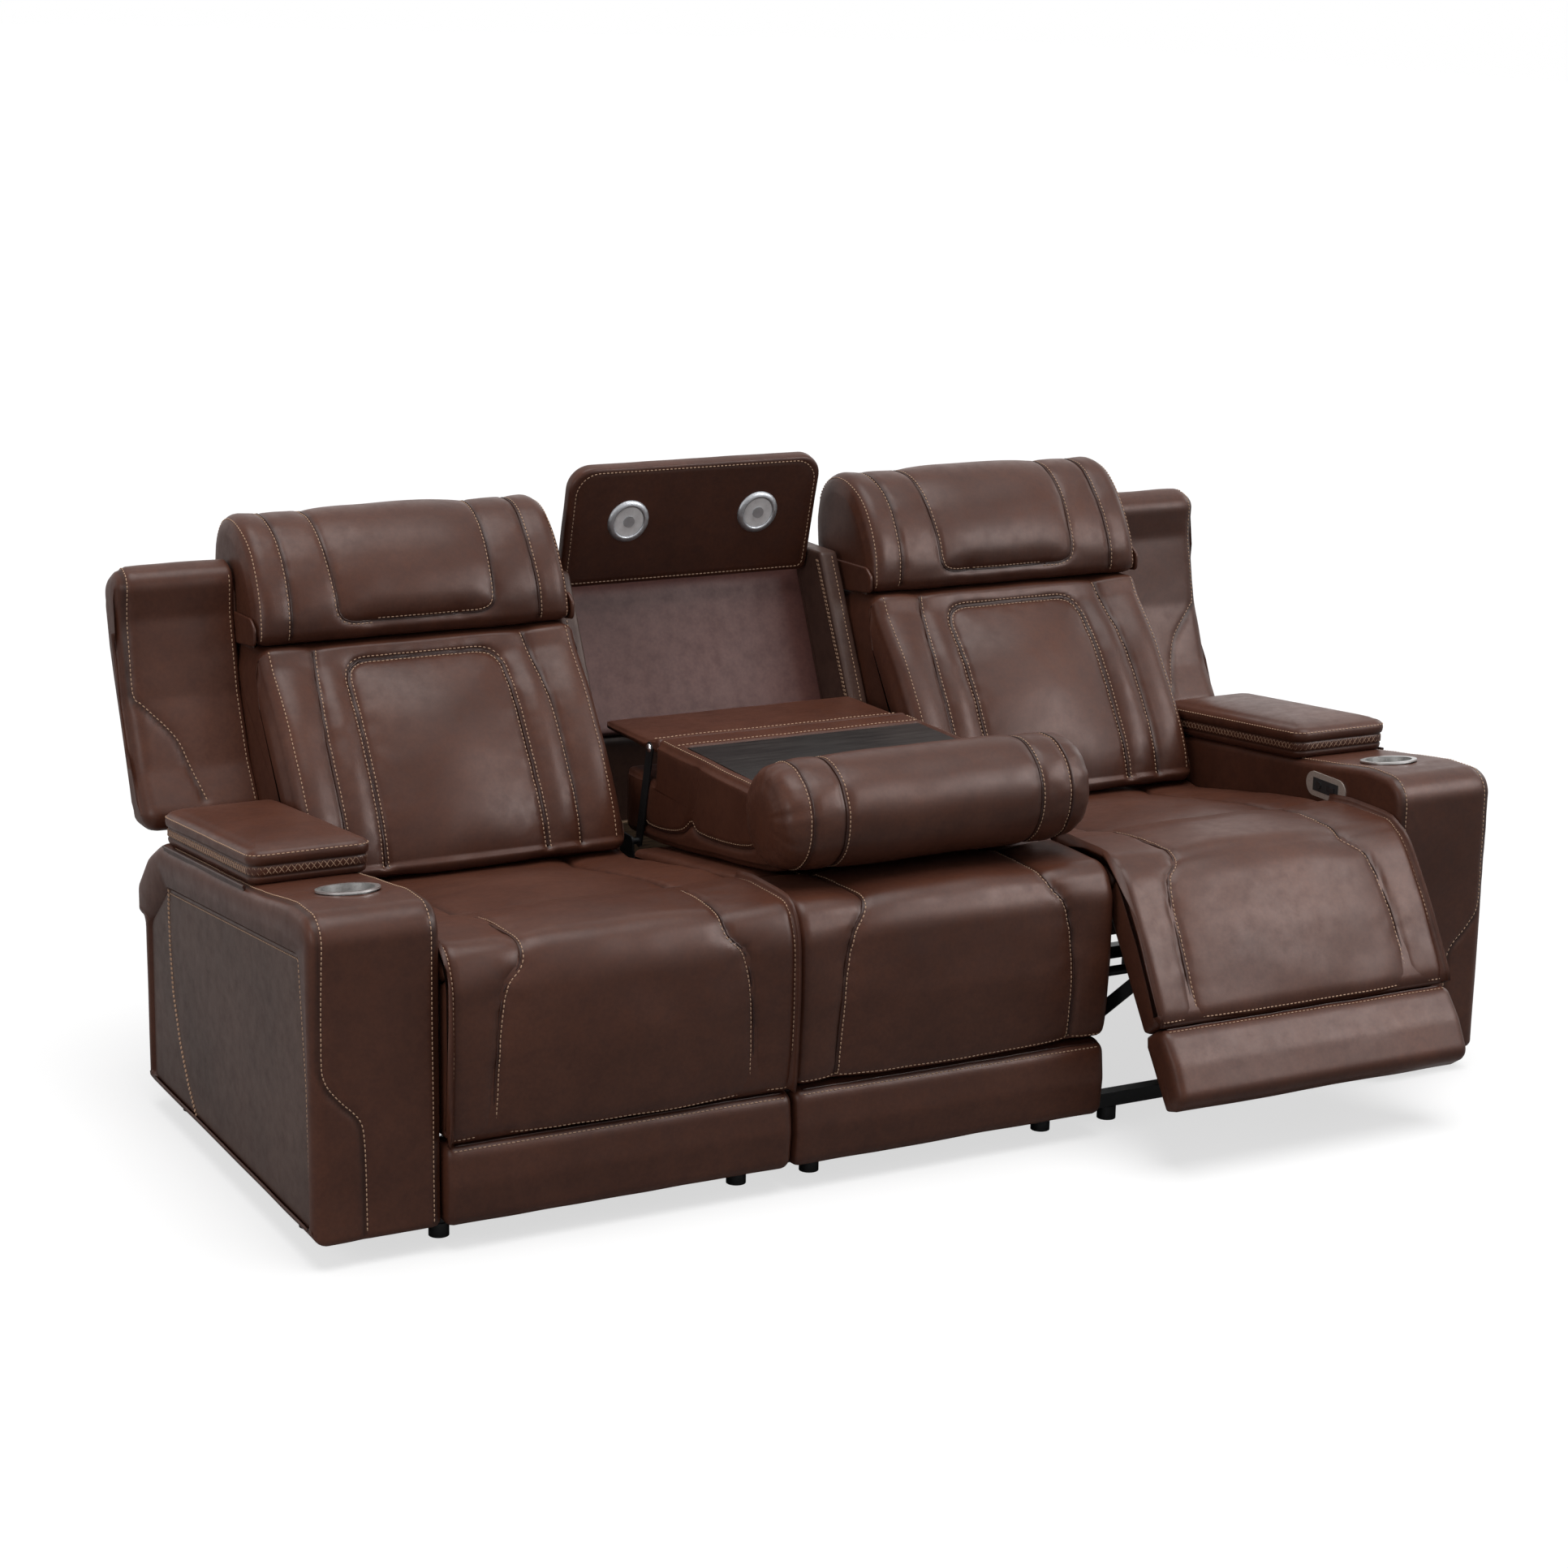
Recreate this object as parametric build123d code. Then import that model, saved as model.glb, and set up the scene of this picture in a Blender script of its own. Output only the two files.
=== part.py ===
"""Three-seat power reclining sofa with a drop-down console, in millimetres.

X runs to the sitter's left hand as seen from the front, Y to the rear and Z up; z = 0 is the floor.
Rest pose: console dropped, reading-light panel up, right footrest partly open.
"""
import os
from math import atan2, cos, degrees, hypot, radians, sin

from build123d import *

# ---- overall ----
overall_width = 2286.0
arm_width = 214.0
middle_seat_width = 616.0
side_clearance = 3.0          # between neighbouring seats, and between seat and arm
touch_gap = 0.3               # between soft faces on different bodies
floor_clearance = 41.0        # underside of arms and front rolls

# ---- joints: places in (y, z) and travels ----
footrest_pivot = (5.0, 470.0)
footrest_travel = 80.0
right_footrest_rest = 34.0
drive_travel = 115.0
recline_pivot = (780.0, 370.0)
headrest_pivot = (872.0, 832.0)
console_pivot = (680.0, 425.0)
light_lean = 15.0
button_travel = 1.2

# ---- steel and board ----
plate = 4.0
pin_radius = 6.0
running_gap = 0.05
link_half_width = 12.0
tube_radius = 12.0
board = 16.0
foot_height = 24.0
foot_radius = 17.0
rail_height = 26.0
rail_width = 25.0

# ---- seat cushions, front pads and rolls, as (y, z, corner radius, share of the draw-in) ----
nose_radius = 33.0
seat_deck = 384.3
seat_top = footrest_pivot[1] + nose_radius
seat_rear = 690.0
middle_seat_rear = 612.0
pad_bottom = 183.5
roll_top = 182.5
pad_back = 33.0
edge_draw = 14.0
seam_draw = 6.0
centre_panel_half = 205.0

# ---- backs and headrests ----
back_bottom = 446.0
back_top = 803.8
back_seam_half = 148.0
back_edge_draw = 26.0
back_seam_draw = 12.0
shell_thickness = 22.0
shell_bottom = 230.0
wing_bottom = 494.0
headrest_heel = 27.5

# ---- arms ----
arm_front = -18.0
arm_rear = 846.0
arm_top_front = 577.0
lid_front = 288.0
lid_rear = 742.0
lid_thickness = 58.0
lid_width = 210.7
lid_gap = 0.5
hinge_radius = 3.0
hinge_drop = 3.2
arm_slope_start = (290.0, 547.5)
arm_slope_end = (750.0, 502.5)
side_panel_depth = 14.0
side_panel_thickness = 9.7
side_panel_groove = 3.0
well_x = (975.0, 1100.0)
well_y = (322.0, 718.0)
well_floor = 300.0
cup_centre = (1022.0, 140.0)
cup_radius = 43.0
cup_flange = 52.0
cup_depth = 70.0
cup_wall = 1.5
cup_flange_thickness = 3.0
switch_centre = (200.0, 514.0)
switch_length = 119.0
switch_height = 46.0
switch_proud = 2.5
insert_length = 76.0
insert_height = 25.0
insert_depth = 12.0
button_radius = 7.0
rocker_size = (22.0, 9.0)
button_gap = 0.3

# ---- console ----
console_half = 256.0
console_top = 632.0
console_rear = 738.0
console_notch = (614.0, 552.0)
roll_centre = (112.0, 612.0)
roll_radius = 96.0
roll_half = 300.0
tray_half = 236.5
tray_front = 213.5
tray_rear = 526.5
tray_thickness = 8.0
tray_proud = 0.5
console_cup = (140.0, 285.0)
console_cup_radius = 38.0
console_cup_depth = 60.0
cover_front = 618.0
cover_rear = 829.0
cover_thickness = 16.0
bracket_plate = 3.0

# ---- middle back ----
post_inner = 266.0
post_outer = 303.0
post_top = 872.0
recess_foot = (942.0, 556.0)
recess_slope = 0.466
recess_thickness = 20.0
middle_shell_thickness = 14.0

# ---- reading-light panel ----
light_half = 263.5
light_height = 236.0
light_thickness = 28.0
light_corner = 45.0
light_axis_setback = 6.0
light_heel = 8.0
light_edge = (1030.0, 838.0)
lamp_x = 137.0
lamp_height = 125.0
lamp_radius = 42.0
lens_radius = 30.0
lamp_button_radius = 11.0
lamp_proud = 6.0
lamp_depth = 14.0

# ---- worked out ----
middle_half = middle_seat_width / 2 - side_clearance
seat_inner = middle_seat_width / 2 + side_clearance
arm_inner = overall_width / 2 - arm_width
seat_outer = arm_inner - side_clearance
seat_middle = (seat_inner + seat_outer) / 2
bracket_inner = console_half + touch_gap
arm_outer = overall_width / 2
rail_z = foot_height
rail_y = 42.0
nodes = {}


# ---- helpers ----
def inset(points, depth):
    """Move each corner inwards by depth times its own share, square to both its edges."""
    area = sum(a[0] * b[1] - b[0] * a[1] for a, b in zip(points, points[1:] + points[:1]))
    turn = 1 if area > 0 else -1
    moved = []
    for before, here, after in zip(points[-1:] + points[:-1], points, points[1:] + points[:1]):
        first = (here[0] - before[0], here[1] - before[1])
        second = (after[0] - here[0], after[1] - here[1])
        n1 = (-turn * first[1] / hypot(*first), turn * first[0] / hypot(*first))
        n2 = (-turn * second[1] / hypot(*second), turn * second[0] / hypot(*second))
        scale = depth * here[3] / (1 + n1[0] * n2[0] + n1[1] * n2[1])
        moved.append((here[0] + (n1[0] + n2[0]) * scale, here[1] + (n1[1] + n2[1]) * scale))
    return moved


def section(points, x, depth=0.0):
    """The closed outline at station x, drawn in by depth."""
    radii = [max(p[2] - depth * p[3], min(p[2], 2.0)) for p in points]
    outline = FilletPolyline(*inset(points, depth), radius=radii, close=True)
    return Plane.YZ.offset(x) * make_face(outline.edges())


def cushion(points, stations):
    """A stuffed form through its outlines, one for each (x, draw-in)."""
    return loft([section(points, x, depth) for x, depth in stations], ruled=True)


def prism(points, x0, x1, radius=0.0):
    """A flat plate or board with the (y, z) outline, from x0 to x1."""
    if radius:
        outline = FilletPolyline(*points, radius=radius, close=True)
    else:
        outline = Polyline(*points, close=True)
    return extrude(Plane.YZ.offset(min(x0, x1)) * make_face(outline.edges()), abs(x1 - x0))


def block(x0, x1, y0, y1, z0, z1):
    return Pos((x0 + x1) / 2, (y0 + y1) / 2, (z0 + z1) / 2) * Box(abs(x1 - x0), abs(y1 - y0), abs(z1 - z0))


def rod(place, radius, x0, x1):
    """A round bar along X through the (y, z) place."""
    return Pos((x0 + x1) / 2, place[0], place[1]) * Rot(0, 90, 0) * Cylinder(radius, abs(x1 - x0))


def link(a, b, x0, x1):
    """A flat link with round ends between two (y, z) pivots, without its holes."""
    length = hypot(b[0] - a[0], b[1] - a[1])
    u = ((b[0] - a[0]) / length, (b[1] - a[1]) / length)
    w = link_half_width
    corners = [(a[0] - u[0] * w - u[1] * w * s, a[1] - u[1] * w + u[0] * w * s) for s in (-1, 1)]
    corners += [(b[0] + u[0] * w - u[1] * w * s, b[1] + u[1] * w + u[0] * w * s) for s in (1, -1)]
    return prism(corners, x0, x1, w * 0.98)


def turned(place, pivot, angle):
    """A (y, z) place after the footrest has opened by angle about its pivot."""
    y, z = place[0] - pivot[0], place[1] - pivot[1]
    c, s = cos(radians(angle)), sin(radians(angle))
    return (pivot[0] + y * c + z * s, pivot[1] - y * s + z * c)


def lobes(edges, draws, crown=0.0):
    """Stations for sewn lobes: full in each lobe's middle, drawn in at its two edges."""
    stations = [(edges[0], draws[0])]
    for (x0, x1), (d0, d1) in zip(zip(edges, edges[1:]), zip(draws, draws[1:])):
        run = x1 - x0
        stations += [(x0 + run * 0.13, crown + (d0 - crown) * 0.42),
                     (x0 + run * 0.32, crown + (d0 - crown) * 0.1),
                     (x0 + run * 0.68, crown + (d1 - crown) * 0.1),
                     (x0 + run * 0.87, crown + (d1 - crown) * 0.42),
                     (x1, d1)]
    return stations


def mirrored(solid):
    return mirror(solid, about=Plane.YZ)


def both(solid):
    return Compound(children=[*solid.solids(), *mirrored(solid).solids()])


def group(*solids):
    return Compound(children=[s for item in solids for s in item.solids()])


# ---- outlines of the soft pieces ----
def seat_outline(rear):
    top_fall = (seat_top - 438.0) / (600.0 - 150.0)
    rear_z = 438.0 - (rear - 600.0) * 0.1
    nose_y = footrest_pivot[0] - nose_radius
    full = nose_radius * 0.98
    points = [(nose_y, seat_top, full, 1.0), (nose_y, seat_top - 2 * nose_radius, full, 1.0),
              (62.0, seat_top - 2 * nose_radius, 4.0, 0.0), (62.0, seat_deck, 4.0, 0.0),
              (rear, seat_deck, 10.0, 0.0), (rear, rear_z, 14.0, 1.0)]
    if rear > 650.0:
        points.append((600.0, 438.0, 60.0, 1.0))
    points += [(300.0, seat_top - top_fall * 150.0 - 2.0, 120.0, 1.0), (150.0, seat_top, 60.0, 1.0)]
    return points


pad_outline = [(-40.0, 462.0, 10.0, 1.0), (-44.0, 330.0, 200.0, 1.0), (-32.0, pad_bottom, 20.0, 1.0),
               (pad_back, pad_bottom, 12.0, 0.0), (pad_back, 430.0, 10.0, 0.0)]
front_roll_outline = [(-30.0, roll_top, 24.0, 1.0), (-36.0, 112.0, 80.0, 1.0),
                      (-30.0, floor_clearance, 24.0, 1.0),
                      (pad_back, floor_clearance, 20.0, 0.5), (pad_back, roll_top, 20.0, 0.0)]
back_outline = [(612.0, back_bottom, 16.0, 1.0), (642.0, 520.0, 60.0, 1.0), (702.0, 618.0, 80.0, 1.0),
                (757.0, 700.0, 80.0, 1.0), (820.0, 772.0, 20.0, 1.0), (840.0, back_top, 14.0, 1.0),
                (1008.0, back_top, 10.0, 0.0), (925.0, back_bottom, 10.0, 0.0)]
headrest_front = headrest_pivot[0] - headrest_heel
headrest_bottom = headrest_pivot[1] - headrest_heel
headrest_outline = [(headrest_front, headrest_bottom, headrest_heel * 0.99, 0.6),
                    (headrest_front, 864.0, 60.0, 0.8),
                    (866.0, 914.0, 60.0, 1.0), (908.0, 974.0, 60.0, 1.0), (970.0, 1016.0, 50.0, 1.0),
                    (1040.0, 1018.0, 40.0, 1.0), (1090.0, 980.0, 40.0, 1.0), (1104.0, 915.0, 50.0, 1.0),
                    (1096.0, 850.0, 30.0, 0.6), (1034.0, headrest_bottom, 20.0, 0.4)]
wing_outline = [(808.0, wing_bottom, 30.0, 1.0), (880.0, 600.0, 80.0, 1.0), (926.0, 712.0, 80.0, 1.0),
                (954.0, 850.0, 60.0, 1.0), (950.0, 928.0, 36.0, 1.0), (1010.0, 944.0, 36.0, 1.0),
                (1084.0, 908.0, 40.0, 1.0), (1080.0, 840.0, 60.0, 1.0), (1000.0, wing_bottom, 24.0, 1.0)]
arm_outline = [(arm_front, floor_clearance, 12.0, 0.5), (arm_front, arm_top_front, 48.0, 1.0),
               (90.0, arm_top_front, 60.0, 1.0), (*arm_slope_start, 120.0, 1.0), (*arm_slope_end, 100.0, 1.0),
               (822.0, 462.0, 60.0, 1.0), (884.0, 400.0, 40.0, 1.0), (884.0, 338.0, 24.0, 1.0),
               (arm_rear, 338.0, 4.0, 1.0), (arm_rear, floor_clearance, 12.0, 0.5)]


# ---- outer seats ----
def seat_stations(x0, x1):
    middle = (x0 + x1) / 2
    return lobes([x0, middle - centre_panel_half, middle + centre_panel_half, x1],
                 [edge_draw, seam_draw, seam_draw, edge_draw])


def nose_cut(pad):
    """Hollow the top of a front pad so that it turns round the seat's nose."""
    reach = overall_width / 2
    pad -= rod(footrest_pivot, nose_radius + touch_gap + 0.1, -reach, reach)
    top = footrest_pivot[1] - nose_radius - touch_gap - 0.1
    return pad - block(-reach, reach, footrest_pivot[0], 60.0, top, 480.0)


def front_roll(x0, x1):
    return cushion(front_roll_outline, [(x0, 12.0), (x0 + 14, 3.0), (x0 + 50, 0.0), (x1 - 50, 0.0),
                                        (x1 - 14, 3.0), (x1, 12.0)])


# linkage: upper link from the seat plate, lower link from the footrest, both pairs beside the side plates
upper_offset = (150.0, -120.0)
lower_offset = (42.0, -190.0)
side_plate_x = seat_inner + 7.0
upper_pivot = (footrest_pivot[0] + upper_offset[0], footrest_pivot[1] + upper_offset[1])
upper_link_x = side_plate_x + plate + 4.0
lower_link_x = upper_link_x + plate + 1.0
ear_x = lower_link_x + plate + 1.0


def pair(solid):
    """A piece on the inner side of an outer seat and its mirror image on the outer side."""
    return Compound(children=[*solid.solids(), *mirror(solid, about=Plane.YZ.offset(seat_middle)).solids()])


def footrest_pins(opened):
    ear = turned((footrest_pivot[0] + lower_offset[0], footrest_pivot[1] + lower_offset[1]), footrest_pivot,
                 opened)
    knee = (ear[0] + upper_offset[0], ear[1] + upper_offset[1])
    return ear, knee


def outer_seat(opened):
    """Seat, frame, drive, links and footrest of the seat at +X, with the footrest opened by an angle."""
    made = {}
    made["seat_cushion"] = cushion(seat_outline(seat_rear), seat_stations(seat_inner, seat_outer))
    side_plate = prism([(70, 384), (70, 320), (640, 320), (800, 345), (806, 392), (760, 396), (740, 384)],
                       side_plate_x, side_plate_x + plate, 6)
    side_plate -= rod(recline_pivot, pin_radius + running_gap, side_plate_x - 1, side_plate_x + plate + 1)
    legs = [block(side_plate_x, side_plate_x + plate, y, y + 40, rail_z + rail_height + touch_gap, 322)
            for y in (100.0, 660.0)]
    shoes = [block(side_plate_x, upper_link_x + plate, y - 10, y + 50, rail_z + rail_height + touch_gap,
                   rail_z + rail_height + 5) for y in (100.0, 660.0)]
    stub = rod(upper_pivot, pin_radius, side_plate_x, upper_link_x + plate + 0.5)
    sides = pair(side_plate + legs[0] + legs[1] + shoes[0] + shoes[1] + stub)
    inner = side_plate_x + plate
    outer = 2 * seat_middle - inner
    front_bar = block(inner, outer, 84, 106, 362, 384)
    rear_bar = rod((720.0, 345.0), tube_radius, inner, outer)
    deck = [block(inner + 40 + i * (outer - inner - 100) / 6, inner + 60 + i * (outer - inner - 100) / 6,
                  106, 722, 380, 384) for i in range(7)]
    hangers = [block(seat_middle - 14, seat_middle + 14, 90, 106, 299.1, 363),
               block(seat_middle - 14, seat_middle + 14, 712, 728, 270, 336)]
    made["seat_frame"] = sides.solids()[0] + sides.solids()[1] + front_bar + rear_bar + hangers[0] + hangers[1]
    for strip in deck:
        made["seat_frame"] += strip
    made["seat_frame"] += block(inner, outer, 722, 734, 350, 384)
    motor = block(seat_middle - 34, seat_middle + 34, 590, 711.7, 250, 330)
    motor += Pos(seat_middle, 640, 236) * Cylinder(26, 30)
    track = block(seat_middle - 12, seat_middle + 12, 90, 590, 286, 298.8)
    made["drive_motor"] = motor + track
    shift = opened / footrest_travel * drive_travel
    slider = block(seat_middle - 26, seat_middle + 26, 232 - shift, 288 - shift, 276, 308)
    slider -= block(seat_middle - 12 - touch_gap, seat_middle + 12 + touch_gap, 0, 600,
                    286 - touch_gap, 298.8 + touch_gap)
    made["drive_block"] = slider

    ear, knee = footrest_pins(opened)
    upper = link(upper_pivot, knee, upper_link_x, upper_link_x + plate)
    upper -= rod(upper_pivot, pin_radius + running_gap, upper_link_x - 1, upper_link_x + plate + 1)
    upper += rod(knee, pin_radius, upper_link_x, lower_link_x + plate + 0.5)
    share = 0.55
    tube_at = (upper_pivot[0] + (knee[0] - upper_pivot[0]) * share,
               upper_pivot[1] + (knee[1] - upper_pivot[1]) * share)
    uppers = pair(upper)
    made["upper_links"] = uppers.solids()[0] + uppers.solids()[1] + rod(
        tube_at, 9.0, upper_link_x + plate, 2 * seat_middle - upper_link_x - plate)
    lower = link(ear, knee, lower_link_x, lower_link_x + plate)
    lower -= rod(knee, pin_radius + 0.4, lower_link_x - 1, lower_link_x + plate + 1)
    lower -= rod(ear, pin_radius + running_gap, lower_link_x - 1, lower_link_x + plate + 1)
    made["lower_links"] = pair(lower)

    closed_ear = (footrest_pivot[0] + lower_offset[0], footrest_pivot[1] + lower_offset[1])
    bracket = prism([(pad_back + 3.3, 262), (58, 262), (58, 298), (pad_back + 3.3, 320)], ear_x,
                    ear_x + plate, 3)
    bracket += block(ear_x, ear_x + 30, pad_back + touch_gap, pad_back + 4, 215, 400)
    bracket += rod(closed_ear, pin_radius, lower_link_x - 0.4, ear_x + plate)
    straps = pair(bracket)
    made["footrest_bracket"] = (straps.solids()[0] + straps.solids()[1]
                                + block(ear_x, 2 * seat_middle - ear_x, pad_back + touch_gap, pad_back + 4,
                                        225, 265)
                                + block(ear_x, 2 * seat_middle - ear_x, pad_back + touch_gap, pad_back + 4,
                                        350, 390)
                                + block(seat_middle - 180, seat_middle + 180, pad_back + touch_gap,
                                        pad_back + 4, 60, 226))
    made["footrest_pad"] = nose_cut(cushion(pad_outline, seat_stations(seat_inner, seat_outer)))
    made["footrest_roll"] = front_roll(seat_inner, seat_outer)
    axis = Axis((0, *footrest_pivot), (-1, 0, 0))
    for name in ("footrest_bracket", "footrest_pad", "footrest_roll"):
        made[name] = made[name].rotate(axis, opened)
    return made


# ---- outer backs ----
def outer_back():
    made = {}
    edges = [seat_inner + 6, seat_middle - back_seam_half, seat_middle + back_seam_half, seat_outer - 6]
    draws = [back_edge_draw, back_seam_draw, back_seam_draw, back_edge_draw]
    made["back_cushion"] = cushion(back_outline, lobes(edges, draws))
    shell_low = (913.0, shell_bottom)
    shell_high = (1056.0, 818.0)
    made["back_shell"] = prism([shell_low, (shell_low[0] + shell_thickness, shell_low[1]),
                                (shell_high[0] + shell_thickness, shell_high[1]), shell_high],
                               seat_inner + touch_gap, seat_outer - touch_gap, 8)
    x0 = seat_inner + touch_gap
    side = prism([(758, 350), (802, 350), (960.8, 428), (1052.8, 806), (1040, 842), (874, 847), (858, 838),
                  (860, 818), (1010, 798), (926, 470), (772, 394)], x0, x0 + bracket_plate, 7)
    side += rod(recline_pivot, pin_radius, x0, side_plate_x + plate + 1)
    sides = pair(side)
    x1 = 2 * seat_middle - x0
    made["back_frame"] = (sides.solids()[0] + sides.solids()[1] + rod(headrest_pivot, pin_radius, x0, x1)
                          + rod((946.0, 490.0), tube_radius - 2, x0, x1)
                          + rod((1004.5, 740.0), tube_radius - 2, x0, x1))
    made["wing"] = cushion(wing_outline, [(seat_outer, 4.0), (seat_outer + 14, 0.0), (arm_outer - 70, 0.0),
                                          (arm_outer - 34, 5.0), (arm_outer - 16, 14.0),
                                          (arm_outer - 8, 26.0)])
    span = (seat_inner + 6, seat_outer - 6)
    roll = cushion(headrest_outline, [(span[0], 22.0), (span[0] + 12, 9.0), (span[0] + 42, 3.0),
                                      (seat_middle - back_seam_half, 0.0),
                                      (seat_middle + back_seam_half, 0.0),
                                      (span[1] - 42, 3.0), (span[1] - 12, 9.0), (span[1], 22.0)])
    made["headrest"] = roll - rod(headrest_pivot, pin_radius + running_gap, x0 - 1, x1 + 1)
    return made


# ---- arms ----
arm_fall = (arm_slope_start[1] - arm_slope_end[1]) / (arm_slope_end[0] - arm_slope_start[0])
cup_fall = (arm_top_front - arm_slope_start[1]) / (arm_slope_start[0] - 90.0)
cup_top = arm_top_front - (cup_centre[1] - 90.0) * cup_fall
cup_tilt = degrees(atan2(cup_fall, 1.0))
hinge_x = arm_outer - 6.0
side_panel_outline = [(12.0, 60.0), (14.0, 300.0), (40.0, 505.0), (700.0, 436.0), (806.0, 348.0),
                      (810.0, 60.0)]


def arm_surface(y):
    return arm_slope_start[1] - (y - arm_slope_start[0]) * arm_fall


def on_cup(solid):
    """Place a piece made about the origin on the arm's sloping top at the cup holder."""
    return Pos(cup_centre[0], cup_centre[1], cup_top) * Rot(-cup_tilt, 0, 0) * solid


def on_slope(y, rise, solid):
    """Place a piece made about the origin on the lid's sloping seat."""
    return Pos(0, y, arm_surface(y) + rise) * Rot(-degrees(atan2(arm_fall, 1.0)), 0, 0) * solid


def right_arm():
    made = {}
    arm = cushion(arm_outline, [(arm_inner, 15.0), (arm_inner + 5, 7.0), (arm_inner + 16, 2.0),
                                (arm_inner + 34, 0.0),
                                (arm_outer - 42, 0.0), (arm_outer - 20, 2.5), (arm_outer - 7, 9.0),
                                (arm_outer, 20.0)])
    arm -= block(*well_x, *well_y, well_floor, 700.0)
    arm -= on_cup(Cylinder(cup_radius + cup_wall + 1.0, 2 * cup_depth + 8.0))
    panel_cut = offset(make_face(Polyline(*side_panel_outline, close=True).edges()), side_panel_groove)
    arm -= extrude(Plane.YZ.offset(arm_outer - side_panel_depth - touch_gap) * panel_cut, 40.0)
    arm -= block(arm_inner - 10, arm_inner + insert_depth + 1.0, switch_centre[0] - 50, switch_centre[0] + 50,
                 switch_centre[1] - 16, switch_centre[1] + 16)
    middle = (lid_front + lid_rear) / 2
    length = lid_rear - lid_front - 30.0
    arm -= on_slope(middle, 0.0, Pos(hinge_x, 0, -hinge_drop - 14) * Box(2.6, length + 1.0, 30.0))
    made["arm"] = arm
    made["side_panel"] = cushion([(y, z, 12.0, 1.0) for y, z in side_panel_outline],
                                 [(arm_outer - side_panel_depth, 0.0),
                                  (arm_outer - side_panel_depth + 6, 0.0),
                                  (arm_outer - side_panel_depth + side_panel_thickness, 5.0)])
    hinge = Pos(hinge_x, 0, 0) * Rot(90, 0, 0) * Cylinder(hinge_radius, length)
    hinge += Pos(hinge_x, 0, -13.0) * Box(2.0, length, 26.0)
    made["lid_hinge"] = on_slope(middle, lid_gap - hinge_drop, hinge)
    cup = Pos(0, 0, cup_flange_thickness / 2 + 0.2) * Cylinder(cup_flange, cup_flange_thickness)
    cup += Pos(0, 0, (cup_flange_thickness - cup_depth) / 2) * Cylinder(cup_radius + cup_wall, cup_depth)
    cup -= Pos(0, 0, cup_flange_thickness / 2 + cup_wall) * Cylinder(cup_radius, 2 * cup_depth)
    made["cup_holder"] = on_cup(cup)

    sy, sz = switch_centre
    bezel_x = arm_inner - switch_proud
    bezel = Pos(bezel_x, sy, sz) * Rot(0, 90, 0) * extrude(SlotOverall(switch_length, switch_height,
                                                                       rotation=90),
                                                           switch_proud - 0.1)
    bezel -= block(bezel_x - 5, bezel_x + 5, sy - insert_length / 2 + 0.5, sy + insert_length / 2 - 0.5,
                   sz - insert_height / 2 + 0.5, sz + insert_height / 2 - 0.5)
    insert = block(bezel_x - 0.6, arm_inner + insert_depth, sy - insert_length / 2, sy + insert_length / 2,
                   sz - insert_height / 2, sz + insert_height / 2)
    hole_end = arm_inner + insert_depth - 4.0
    button_end = hole_end - button_travel - 0.6
    insert -= rod((sy + 20.0, sz), button_radius + button_gap, bezel_x - 5, hole_end)
    rocker_half = (rocker_size[0] / 2, rocker_size[1] / 2)
    insert -= block(bezel_x - 5, hole_end, sy - 16.0 - rocker_half[0] - button_gap,
                    sy - 16.0 + rocker_half[0] + button_gap,
                    sz - rocker_half[1] - button_gap, sz + rocker_half[1] + button_gap)
    made["switch_plate"] = bezel + insert
    made["round_button"] = rod((sy + 20.0, sz), button_radius, bezel_x - 2.4, button_end)
    made["rocker_button"] = block(bezel_x - 2.4, button_end, sy - 16.0 - rocker_half[0],
                                  sy - 16.0 + rocker_half[0],
                                  sz - rocker_half[1], sz + rocker_half[1])

    front_z = arm_surface(lid_front) + lid_gap
    rear_z = arm_surface(lid_rear) + lid_gap
    lid_outline = [(lid_front, front_z, 10.0, 0.4), (lid_front - 4, front_z + lid_thickness, 26.0, 1.0),
                   (lid_rear + 12, rear_z + lid_thickness, 26.0, 1.0), (lid_rear, rear_z, 10.0, 0.4)]
    lid_x = (hinge_x - hinge_radius - 0.3 - lid_width, hinge_x - hinge_radius - 0.3)
    made["lid"] = cushion(lid_outline, [(lid_x[0], 18.0), (lid_x[0] + 5, 9.0), (lid_x[0] + 16, 3.0),
                                        (lid_x[0] + 36, 0.0),
                                        (lid_x[1] - 36, 0.0), (lid_x[1] - 16, 3.0), (lid_x[1] - 5, 9.0),
                                        (lid_x[1], 18.0)])
    return made


# ---- middle seat and back ----
def recess_y(z):
    return recess_foot[0] + (z - recess_foot[1]) * recess_slope


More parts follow.
